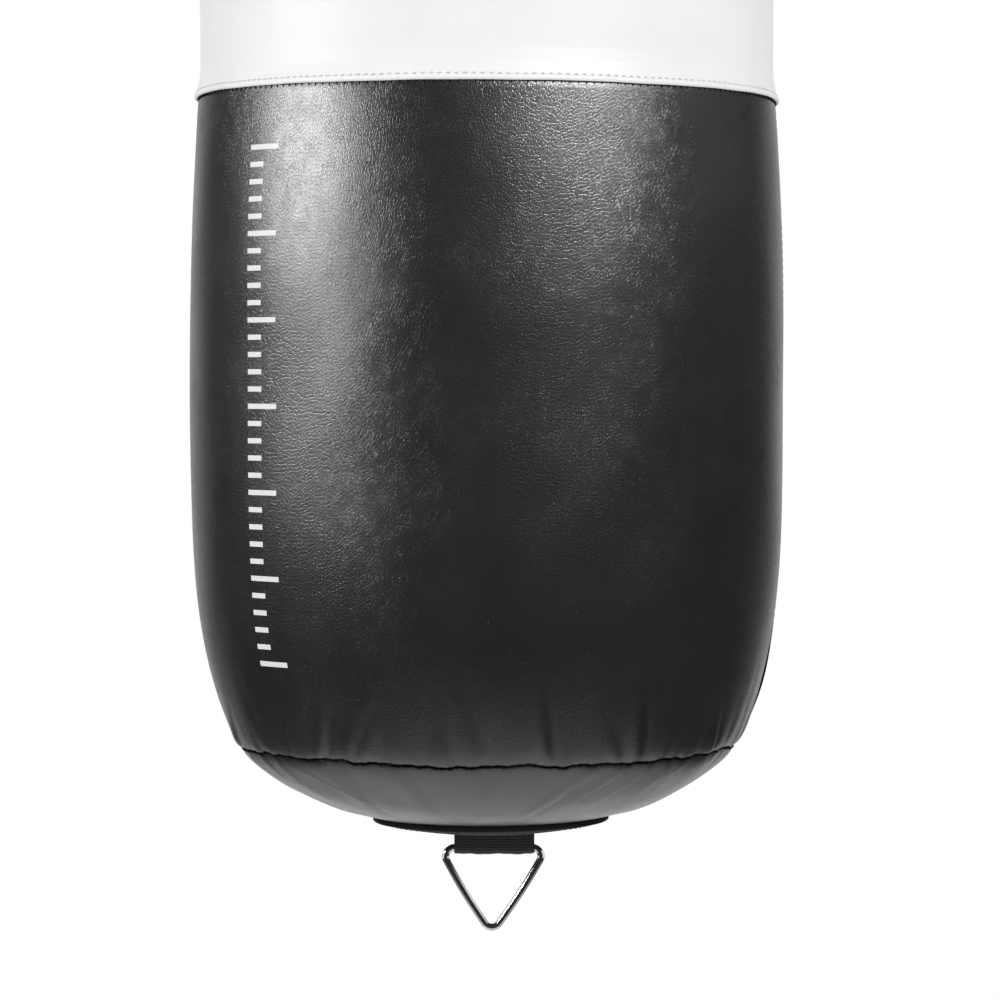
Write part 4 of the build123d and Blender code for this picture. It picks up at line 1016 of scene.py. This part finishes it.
def make_webbing(sizes, colours):
    """Belt round the collar and the four hanging loops, each sewn down with a box of stitches."""
    cloth, pitch = webbing_cloth(colours), sizes.stitch_pitch
    section, columns = tape_section(BELT_HIGH - BELT_LOW, TAPE_T, 26), 600
    h = BASE_Z + (BELT_LOW + BELT_HIGH) / 2 - section[:, 0]
    points = polar(evenly(columns)[:, None], BELT_R - TAPE_T / 2 + section[:, 1], h)
    grid = points, closed(section[:, 0]), girth(columns, BELT_R), True
    piece("collar_belt_webbing", [grid], "black_webbing", cloth, ("collar_belt",))

    knee, end, middle = RIM_H + 0.001, RIM_H - 0.092, (TAIL_IN + TAIL_OUT) / 2
    hub = middle - LOOP_RISE * math.sin(TOP_LEAN), knee + LOOP_RISE * math.cos(TOP_LEAN)
    line = loop_line(hub, (TAIL_OUT, knee), (TAIL_OUT, end), (TAIL_IN, knee), (TAIL_IN, end), 250)
    section, half = tape_section(TAPE_WIDTH, TAPE_T, 14), TAPE_WIDTH / 2 - 0.004
    rows = []
    for number, azimuth in enumerate(TOP_ANGLES, start=1):
        out, side = facing(azimuth)
        path = line[:, :1] * out + (BASE_Z + line[:, 1:]) * UP
        grid = tape_grid(tape_points(path, side, section), section, run_of(line))
        piece(f"top_loop_webbing_{number}", [grid], "black_webbing", cloth, (f"top_loop_{number}",))
        for low, high in ((RIM_H - 0.0885, RIM_H - 0.0490), (RIM_H - 0.046, RIM_H - 0.012)):
            # a box with a diagonal, then the other diagonal
            box = [(-half, low), (half, low), (half, high), (-half, high), (-half, low), (half, high)]
            for shape in (box, [(-half, high), (half, low)]):
                flat = softened(shape, 400, 0)
                seam = out * (TAIL_OUT + TAPE_T / 2 + OFF) + flat[:, :1] * side + (BASE_Z + flat[:, 1:]) * UP
                rows.append(row_places(seam, out, pitch * 0.8))
    stitches("top_loop_stitches", rows, sizes, colours, "black_webbing", 0.0028)
    rows = [ring_places(BELT_R + OFF, h, pitch) for h in (BELT_LOW + 0.0035, BELT_HIGH - 0.0035)]
    stitches("belt_stitches", rows, sizes, colours, "black_webbing")


# ======== base patch and loop
def on_crown(flat, drop):
    """Plane points put on the crown's sphere, below it by the drop."""
    far = np.linalg.norm(flat, axis=-1, keepdims=True)
    return raised(flat, CROWN_R - np.sqrt((CROWN_R + drop) ** 2 - far**2))


def make_base_patch(sizes, colours):
    """Round leather patch on the crown: ruled from its slit to its rim, on the crown's sphere, with a rolled rim."""
    columns, half, wide = 360, TAPE_WIDTH / 2, TAPE_BEND + TAPE_T / 2
    t, under = evenly(columns), np.linspace(0, 1, 64)
    hole = rounded_slot(half + 0.0004, wide + 0.0004, t, 7.0) + [LOOP_X, 0.0]
    share = np.concatenate([under * 0.985, [0.993, 0.998, 1.0, 1.0, 0.997], np.linspace(0.985, 0, 14)])
    lip = 0.0003 * np.exp(-((under / 0.02) ** 2)) - 0.00035 * np.exp(-(((under - 0.055) / 0.02) ** 2))
    drop = np.concatenate([0.0034 + lip + 0.0002 * np.sin(np.pi * under),
                           [0.0032, 0.0028, 0.0021, 0.0010, 0.0003, 0.0003], np.full(13, 0.0018)])
    points = on_crown(ruled(hole, arc(PATCH_X, 0.0, PATCH_R, t), share), drop[:, None, None])
    grid = points, girth(columns, PATCH_R), np.append(share, 0.0) * PATCH_R, True
    finish = leather("black_patch_leather", colours.black_leather, 0.62, grain=0.00006, dust=0.03, gloss=1.2)
    piece("base_patch_leather", [grid], "black_leather", finish, ("base_patch",))
    t = np.linspace(0, 2 * np.pi, 700)
    slot = rounded_slot(half + 0.006, wide + 0.006, t, 5.0) + [LOOP_X, 0.0]
    rows = [row_places(on_crown(outline, 0.00355), -UP, sizes.stitch_pitch)
            for outline in (arc(PATCH_X, 0.0, PATCH_R - 0.008, t), slot)]
    stitches("base_patch_stitches", rows, sizes, colours, sink=1.0, bow=0.7)


def make_base_loop(sizes, colours):
    """Webbing loop of the base: tails under the patch, down through its slit and round the ring's bar."""
    mid_y, knee, end = 0.0225, TAPE_BEND + OFF, 0.045

    def tail(y):
        """A point of the tail, which lies along the crown's tangent at mid_y."""
        rise = mid_y**2 / (2 * CROWN_R) + mid_y / CROWN_R * (abs(y) - mid_y) - (OFF + TAPE_T / 2)
        return y, rise

    line = loop_line((0.0, BAR_H), tail(-knee), tail(-end), tail(knee), tail(end), 260)
    section = tape_section(TAPE_WIDTH, TAPE_T, 26)
    path = np.stack(np.broadcast_arrays(LOOP_X, line[:, 0], BASE_Z + line[:, 1]), -1)
    points = tape_points(path, (1.0, 0.0, 0.0), section)
    x, low = points[..., 0] - LOOP_X, np.clip((BAR_H + BASE_Z - points[..., 2]) / 0.004, 0, 1)
    points[..., 2] += low * 0.00022 * (np.sin(x * 310 + 0.6) + 0.6 * np.sin(x * 760))
    grid = tape_grid(points, section, run_of(line))
    piece("base_loop_webbing", [grid], "black_webbing", webbing_cloth(colours), ("base_loop",))


# ======== triangle rings
def ring_line(bow, sway):
    """Centre line of a triangle ring: its sides run tangent to an arc at each end of the bar and at the apex.

    Both sides are bent out by bow sin(pi t) and the whole swayed by sway t, t being the share of its depth."""
    corner, low = RING_HALF - WIRE_R - BAR_BEND, RING_DROP - APEX_BEND
    half, depth = RING_HALF, RING_DROP
    for _ in range(40):
        side = math.atan2(depth, half)
        half = corner + BAR_BEND / math.tan(side / 2)
        depth = RING_DROP + APEX_BEND * (1 / math.cos(side) - 1)
    quarter = math.pi / 2
    bends = [arc(x, y, bend, np.linspace(start, end, 22)) for x, y, bend, start, end in (
        (-corner, -BAR_BEND, BAR_BEND, -quarter - side, -3 * quarter),
        (corner, -BAR_BEND, BAR_BEND, quarter, side - quarter),
        (0.0, -low, APEX_BEND, side - quarter, -quarter - side),
    )]
    share, runs = np.linspace(0, 1, 26)[1:-1, None], []
    for one, two in zip(bends, bends[1:] + bends[:1]):
        runs += [one, one[-1] * (1 - share) + two[0] * share]
    line = np.concatenate(runs)
    t = np.clip(-line[:, 1] / RING_DROP, 0, 1)
    line[:, 0] += np.sign(line[:, 0]) * bow * np.sin(np.pi * t) * np.clip(np.abs(line[:, 0]) / 0.004, 0, 1) + sway * t
    return line


def ring_grid(middle, side, up, sway=0.0):
    """A wire of round section carried round the ring's line, in the plane of side and up through middle."""
    line = ring_line(0.0013, sway)
    path = middle + line[:, :1] * side + line[:, 1:] * up
    across = np.cross(side, up)
    t = np.linspace(0, 2 * np.pi, 20, endpoint=False)
    along = unit(np.roll(path, -1, 0) - np.roll(path, 1, 0))
    points = carried(path, across, np.cross(across, along), arc(0.0, 0.0, WIRE_R, t))
    return points, np.append(t, 2 * np.pi) * WIRE_R, run_of(np.concatenate([path, path[:1]])), True


def make_rings(sizes, colours):
    """Base ring and the four top rings: plated round wire bent to a triangle."""
    plate = metal("chrome_plate", colours.chrome, 0.10, 0.05, 0.0000004)
    down = ring_grid((LOOP_X - 0.0005, 0.0, BASE_Z + BAR_H), np.array([1.0, 0.0, 0.0]), UP, -0.0010)
    piece("base_ring_wire", [down], "chrome", plate, ("base_ring",), body="ring")
    r = (TAIL_IN + TAIL_OUT) / 2 - LOOP_RISE * math.sin(TOP_LEAN)
    z = BASE_Z + RIM_H + 0.001 + LOOP_RISE * math.cos(TOP_LEAN)
    for number, azimuth in enumerate(TOP_ANGLES, start=1):
        out, side = facing(azimuth)
        wire = ring_grid(out * r + UP * z, side, math.sin(TOP_LEAN) * out - UP * math.cos(TOP_LEAN))
        piece(f"top_ring_wire_{number}", [wire], "chrome", plate, (f"top_ring_{number}",))


# ======== printed bars
def make_marks(sizes, colours):
    """Plain printed bars up the lower leather: each a thin closed plate on the leather's own surface."""
    section, grids = tape_section(1.0, 1.0, 18), []
    for number, middle in enumerate(np.linspace(sizes.mark_low, sizes.mark_high, sizes.mark_count)):
        share = 1.0 if number % 5 == 0 else 0.5
        h = middle + np.linspace(-0.5, 0.5, 8)[:, None] * sizes.mark_height
        across = section[:, 0] * share + (share - 1) / 2
        a = sizes.mark_turn + across * sizes.mark_width / BELLY_R
        r = wall_radius(h) + lower_relief(a, h, sizes) + (0.00004 + 0.00007 * section[:, 1])
        v = middle + np.linspace(-0.5, 0.5, 10) * sizes.mark_height
        grids.append((closed_ends(polar(a, r, BASE_Z + h)), closed(across) * sizes.mark_width, v, False))
    piece("printed_bars", grids, "white_leather", printed("white_print", colours.print_ink))


# ======== finishes of the frame's own nodes
def make_finishes(sizes, colours):
    """Metal, foam, rag and sand finishes on the frame's nodes, by their material slot."""
    finish = {
        "chrome": metal("forged_plate", colours.forged, 0.18, 0.10, 0.000001, cloud=150.0, darker=0.8),
        "zinc_steel": metal("zinc_plate", colours.zinc, 0.28, 0.16, 0.000002, cloud=150.0, darker=0.8),
        "black_steel": metal("black_paint", colours.black_steel, 0.34, 0.16, 0.000006, 0.0, 70.0, 1.8),
        "rivet_metal": metal("rivet_nickel", colours.chrome, 0.16, 0.12, 0.000001),
        "zip_metal": metal("zip_brass", colours.zip_metal, 0.25, 0.14, 0.000002),
        "foam": crumbly("foam_cells", (0.5, 0.5, 0.48), 420.0, 0.0006, 1.2),
        "textile": crumbly("packed_rag", (0.34, 0.31, 0.3), 130.0, 0.002, 1.5),
        "sand": crumbly("sand_grains", (0.5, 0.42, 0.29), 900.0, 0.0006, 1.3),
        "zip_tape": zip_cloth(colours),
        "black_leather": black_skin(colours),
        "white_leather": bpy.data.materials["white_bag_leather"],
        "black_webbing": webbing_cloth(colours),
    }
    for part in frame["record"]["subparts"]:
        slots = frame["nodes"][part["node"]].data.materials
        slots.clear()
        slots.append(finish[part["material_slot"]])


# ======== studio
def softbox(name, place, target, wide, tall, energy, part):
    """Rectangular lamp turned to a target; it gives either the light or the gloss of the same softbox."""
    lamp = bpy.data.lights.new(name, "AREA")
    lamp.shape = "RECTANGLE"
    lamp.size, lamp.size_y, lamp.energy = wide, tall, energy
    made = bpy.data.objects.new(name, lamp)
    made.location = place
    made.rotation_euler = (Vector(target) - Vector(place)).to_track_quat("-Z", "Y").to_euler()
    made.visible_camera = False
    made.visible_diffuse, made.visible_glossy = part == "light", part == "gloss"
    bpy.context.scene.collection.objects.link(made)
    return made


def metal_cards(studio):
    """Light linking: only plated metal mirrors a white card at each side, and no forged part mirrors the sheens."""
    plated, unsheened = bpy.data.collections.new("plated_metal"), bpy.data.collections.new("forged_metal")
    for made in list(bpy.context.scene.collection.all_objects):
        finish = made.active_material if made.type == "MESH" else None
        if finish and finish.name in ("chrome_plate", "forged_plate", "zinc_plate", "rivet_nickel", "zip_brass"):
            plated.objects.link(made)
        if finish and finish.name in ("forged_plate", "zinc_plate"):
            unsheened.objects.link(made)
    for link in unsheened.collection_objects:
        link.light_linking.link_state = "EXCLUDE"
    for name in ("left_sheen", "right_sheen", "side_sheen"):
        bpy.data.objects[name].light_linking.receiver_collection = unsheened
    for x, name in ((-1.6, "left_card"), (1.6, "right_card")):
        card = softbox(name, (x, 0.15, -0.9), (0.0, 0.15, -0.9), 2.2, 3.2, studio.card_power, "gloss")
        card.light_linking.receiver_collection = plated


def make_floor(studio):
    """Round floor: white to the eye far out, and plain pale with the object's shadow near its middle."""
    r = np.append(0.0, np.geomspace(0.3, 40.0, 30))[::-1, None]
    points = polar(evenly(96), r, BASE_Z - studio.floor_drop)
    mesh = new_mesh("studio_floor", points.reshape(-1, 3), grid_faces(*points.shape[:2], False)[0], recalc=False)
    floor = bpy.data.objects.new("studio_floor", mesh)
    bpy.context.scene.collection.objects.link(floor)
    mat = bpy.data.materials.new("floor_paper")
    mat.use_nodes = True
    tree = mat.node_tree
    tree.nodes.clear()
    place = place_of(tree)
    far = place.vector("MULTIPLY", (1.0, 1.0, 0.0)).vector("LENGTH")["Value"]
    ray = node(tree, "ShaderNodeLightPath")
    seen = ray["Is Camera Ray"].maths("MAXIMUM", ray["Is Transmission Ray"])
    share = (far.smooth(0.7, 1.9) * seen).maths("MAXIMUM", far.smooth(0.35, 0.9) * ray["Is Glossy Ray"])
    sheen = (place.parts()[1] / far).smooth(0.72, 1.0, 0.03, 1.0)
    paper = node(tree, "ShaderNodeBsdfDiffuse", {"Color": rgba((0.82, 0.82, 0.82))})
    white = {"Color": rgba((1.0, 1.0, 1.0)), "Strength": ray["Is Glossy Ray"].mix(1.0, sheen)}
    mixed = node(tree, "ShaderNodeMixShader", {0: share, 1: paper, 2: node(tree, "ShaderNodeEmission", white)})
    back = node(tree, "ShaderNodeNewGeometry")["Backfacing"]
    clear = node(tree, "ShaderNodeBsdfTransparent")
    surface = node(tree, "ShaderNodeMixShader", {0: back, 1: mixed, 2: clear})
    node(tree, "ShaderNodeOutputMaterial", {0: surface})
    mesh.materials.append(mat)


def make_room(studio):
    """Room: white behind and below the bag, dark on the camera's side for gloss, even light for the rest."""
    world = bpy.data.worlds.new("studio_room")
    bpy.context.scene.world = world
    world.use_nodes = True
    tree = world.node_tree
    tree.nodes.clear()
    _, ahead, up = node(tree, "ShaderNodeTexCoord")["Generated"].parts()
    behind, below = ahead.smooth(0.72, 1.0, 0.03, 1.0), up.smooth(-1.0, -0.5, 1.0, 0.0)
    glossy = behind.maths("MAXIMUM", below).maths("MAXIMUM", up.smooth(0.35, 0.85, 0.0, 0.5))
    front = ahead.remap(-1.0, 0.1, studio.room_light * 1.50, studio.room_light * 1.34)
    ray = node(tree, "ShaderNodeLightPath")
    seen = ray["Is Camera Ray"].maths("MAXIMUM", ray["Is Transmission Ray"])
    level = seen.mix(ray["Is Glossy Ray"].mix(front, glossy), 1.0)
    air = node(tree, "ShaderNodeBackground", {"Color": rgba((1.0, 1.0, 1.0)), "Strength": level})
    node(tree, "ShaderNodeOutputWorld", {0: air})


def make_studio(studio):
    """Camera, softboxes, the room's light and the floor."""
    scene = bpy.context.scene
    lens = bpy.data.cameras.new("studio_camera")
    lens.lens, lens.sensor_width = studio.camera_lens, 36.0
    camera = bpy.data.objects.new("studio_camera", lens)
    camera.location = (0.0, -studio.camera_distance, BASE_Z + studio.camera_rise)
    camera.rotation_euler = (math.pi / 2 - studio.camera_pitch, 0.0, -studio.camera_pan)
    scene.collection.objects.link(camera)
    scene.camera = camera
    scene.view_settings.view_transform = "Standard"
    eye = BASE_Z + 0.32
    for name, x, y, up, aim, wide, tall, energy, part in (
        ("left_softbox", -2.10, -0.66, 0.85, 0.40, 1.2, 1.4, studio.left_power, "light"),
        ("right_softbox", 1.37, -1.72, 1.05, 0.40, 1.2, 1.2, studio.right_power, "light"),
        ("left_sheen", -2.06, -0.65, 0.47, 0.47, 1.2, 0.50, studio.left_sheen, "gloss"),
        ("right_sheen", 0.64, -0.96, 0.63, 0.63, 0.70, 0.20, studio.right_sheen, "gloss"),
        ("side_sheen", 1.35, 0.10, 0.40, 0.40, 0.90, 0.55, studio.side_sheen, "gloss"),
    ):
        softbox(name, (x, y, eye + up), (0.0, 0.0, eye + aim), wide, tall, energy, part)
    metal_cards(studio)
    make_floor(studio)
    make_room(studio)


# ======== add-on
def given(context):
    """The settings of the leather, thread and marks, and of the colours."""
    return context.scene.heavy_bag, context.scene.heavy_bag_colours


class HEAVYBAG_OT_upper_leather(bpy.types.Operator):
    """Makes the white upper skin with its folded hem."""

    bl_idname = "heavybag.upper_leather"
    bl_label = "Upper leather"

    def execute(self, context):
        make_upper_leather(*given(context))
        return {"FINISHED"}


class HEAVYBAG_OT_lower_leather(bpy.types.Operator):
    """Makes the black lower skin with its lumps and gathers."""

    bl_idname = "heavybag.lower_leather"
    bl_label = "Lower leather"

    def execute(self, context):
        make_lower_leather(*given(context))
        return {"FINISHED"}


class HEAVYBAG_OT_base_leather(bpy.types.Operator):
    """Makes the black rounded base with its gathers."""

    bl_idname = "heavybag.base_leather"
    bl_label = "Base leather"

    def execute(self, context):
        make_base_leather(*given(context))
        return {"FINISHED"}


class HEAVYBAG_OT_side_strips(bpy.types.Operator):
    """Makes the cover strips over the side seam."""

    bl_idname = "heavybag.side_strips"
    bl_label = "Side strips"

    def execute(self, context):
        make_side_strips(*given(context))
        return {"FINISHED"}


class HEAVYBAG_OT_seams(bpy.types.Operator):
    """Makes the thread of the round seams."""

    bl_idname = "heavybag.seams"
    bl_label = "Seams"

    def execute(self, context):
        make_seams(*given(context))
        return {"FINISHED"}


class HEAVYBAG_OT_collar(bpy.types.Operator):
    """Makes the collar, its rim piping and the lid."""

    bl_idname = "heavybag.collar"
    bl_label = "Collar and lid"

    def execute(self, context):
        make_collar(*given(context))
        return {"FINISHED"}


class HEAVYBAG_OT_zip_tapes(bpy.types.Operator):
    """Makes the woven tapes of the lid's zip."""

    bl_idname = "heavybag.zip_tapes"
    bl_label = "Zip tapes"

    def execute(self, context):
        make_zip_tapes(*given(context))
        return {"FINISHED"}


class HEAVYBAG_OT_webbing(bpy.types.Operator):
    """Makes the belt and the hanging loops."""

    bl_idname = "heavybag.webbing"
    bl_label = "Webbing"

    def execute(self, context):
        make_webbing(*given(context))
        return {"FINISHED"}


class HEAVYBAG_OT_base_patch(bpy.types.Operator):
    """Makes the round patch under the base."""

    bl_idname = "heavybag.base_patch"
    bl_label = "Base patch"

    def execute(self, context):
        make_base_patch(*given(context))
        return {"FINISHED"}


class HEAVYBAG_OT_base_loop(bpy.types.Operator):
    """Makes the webbing loop that holds the base ring."""

    bl_idname = "heavybag.base_loop"
    bl_label = "Base loop"

    def execute(self, context):
        make_base_loop(*given(context))
        return {"FINISHED"}


class HEAVYBAG_OT_rings(bpy.types.Operator):
    """Makes the plated rings of the base and of the hanging loops."""

    bl_idname = "heavybag.rings"
    bl_label = "Triangle rings"

    def execute(self, context):
        make_rings(*given(context))
        return {"FINISHED"}


class HEAVYBAG_OT_marks(bpy.types.Operator):
    """Makes the plain white bars on the lower leather."""

    bl_idname = "heavybag.marks"
    bl_label = "Printed bars"

    def execute(self, context):
        make_marks(*given(context))
        return {"FINISHED"}


class HEAVYBAG_OT_finishes(bpy.types.Operator):
    """Puts metal, foam, rag and sand finishes on the frame."""

    bl_idname = "heavybag.finishes"
    bl_label = "Finishes"

    def execute(self, context):
        make_finishes(*given(context))
        return {"FINISHED"}


class HEAVYBAG_OT_studio(bpy.types.Operator):
    """Makes the camera, lamps, floor and room."""

    bl_idname = "heavybag.studio"
    bl_label = "Studio"

    def execute(self, context):
        make_studio(context.scene.heavy_bag_studio)
        return {"FINISHED"}


STEPS = [
    HEAVYBAG_OT_upper_leather,
    HEAVYBAG_OT_lower_leather,
    HEAVYBAG_OT_base_leather,
    HEAVYBAG_OT_side_strips,
    HEAVYBAG_OT_seams,
    HEAVYBAG_OT_collar,
    HEAVYBAG_OT_zip_tapes,
    HEAVYBAG_OT_webbing,
    HEAVYBAG_OT_base_patch,
    HEAVYBAG_OT_base_loop,
    HEAVYBAG_OT_rings,
    HEAVYBAG_OT_marks,
    HEAVYBAG_OT_finishes,
    HEAVYBAG_OT_studio,
]


class HEAVYBAG_PT_panel(bpy.types.Panel):
    """Sizes, colours and steps of the heavy bag."""

    bl_idname = "HEAVYBAG_PT_panel"
    bl_label = "Heavy Bag"
    bl_space_type = "VIEW_3D"
    bl_region_type = "UI"
    bl_category = "Heavy Bag"

    def draw(self, context):
        for key in SETTINGS:
            group, box = getattr(context.scene, key), self.layout.box()
            for name in group.__annotations__:
                box.prop(group, name)
        for made in STEPS:
            self.layout.operator(made.bl_idname)


SETTINGS = {"heavy_bag": HeavyBagSizes, "heavy_bag_colours": HeavyBagColours, "heavy_bag_studio": HeavyBagStudio}
CLASSES = [*SETTINGS.values(), *STEPS, HEAVYBAG_PT_panel]


def register():
    for kind in CLASSES:
        bpy.utils.register_class(kind)
    for name, kind in SETTINGS.items():
        setattr(bpy.types.Scene, name, PointerProperty(type=kind))


def unregister():
    for name in SETTINGS:
        delattr(bpy.types.Scene, name)
    for kind in reversed(CLASSES):
        bpy.utils.unregister_class(kind)


def main():
    """Registers the add-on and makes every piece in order."""
    register()
    for made in STEPS:
        getattr(bpy.ops.heavybag, made.bl_idname.split(".")[1])()
    bpy.context.view_layer.update()


if __name__ == "__main__":
    main()
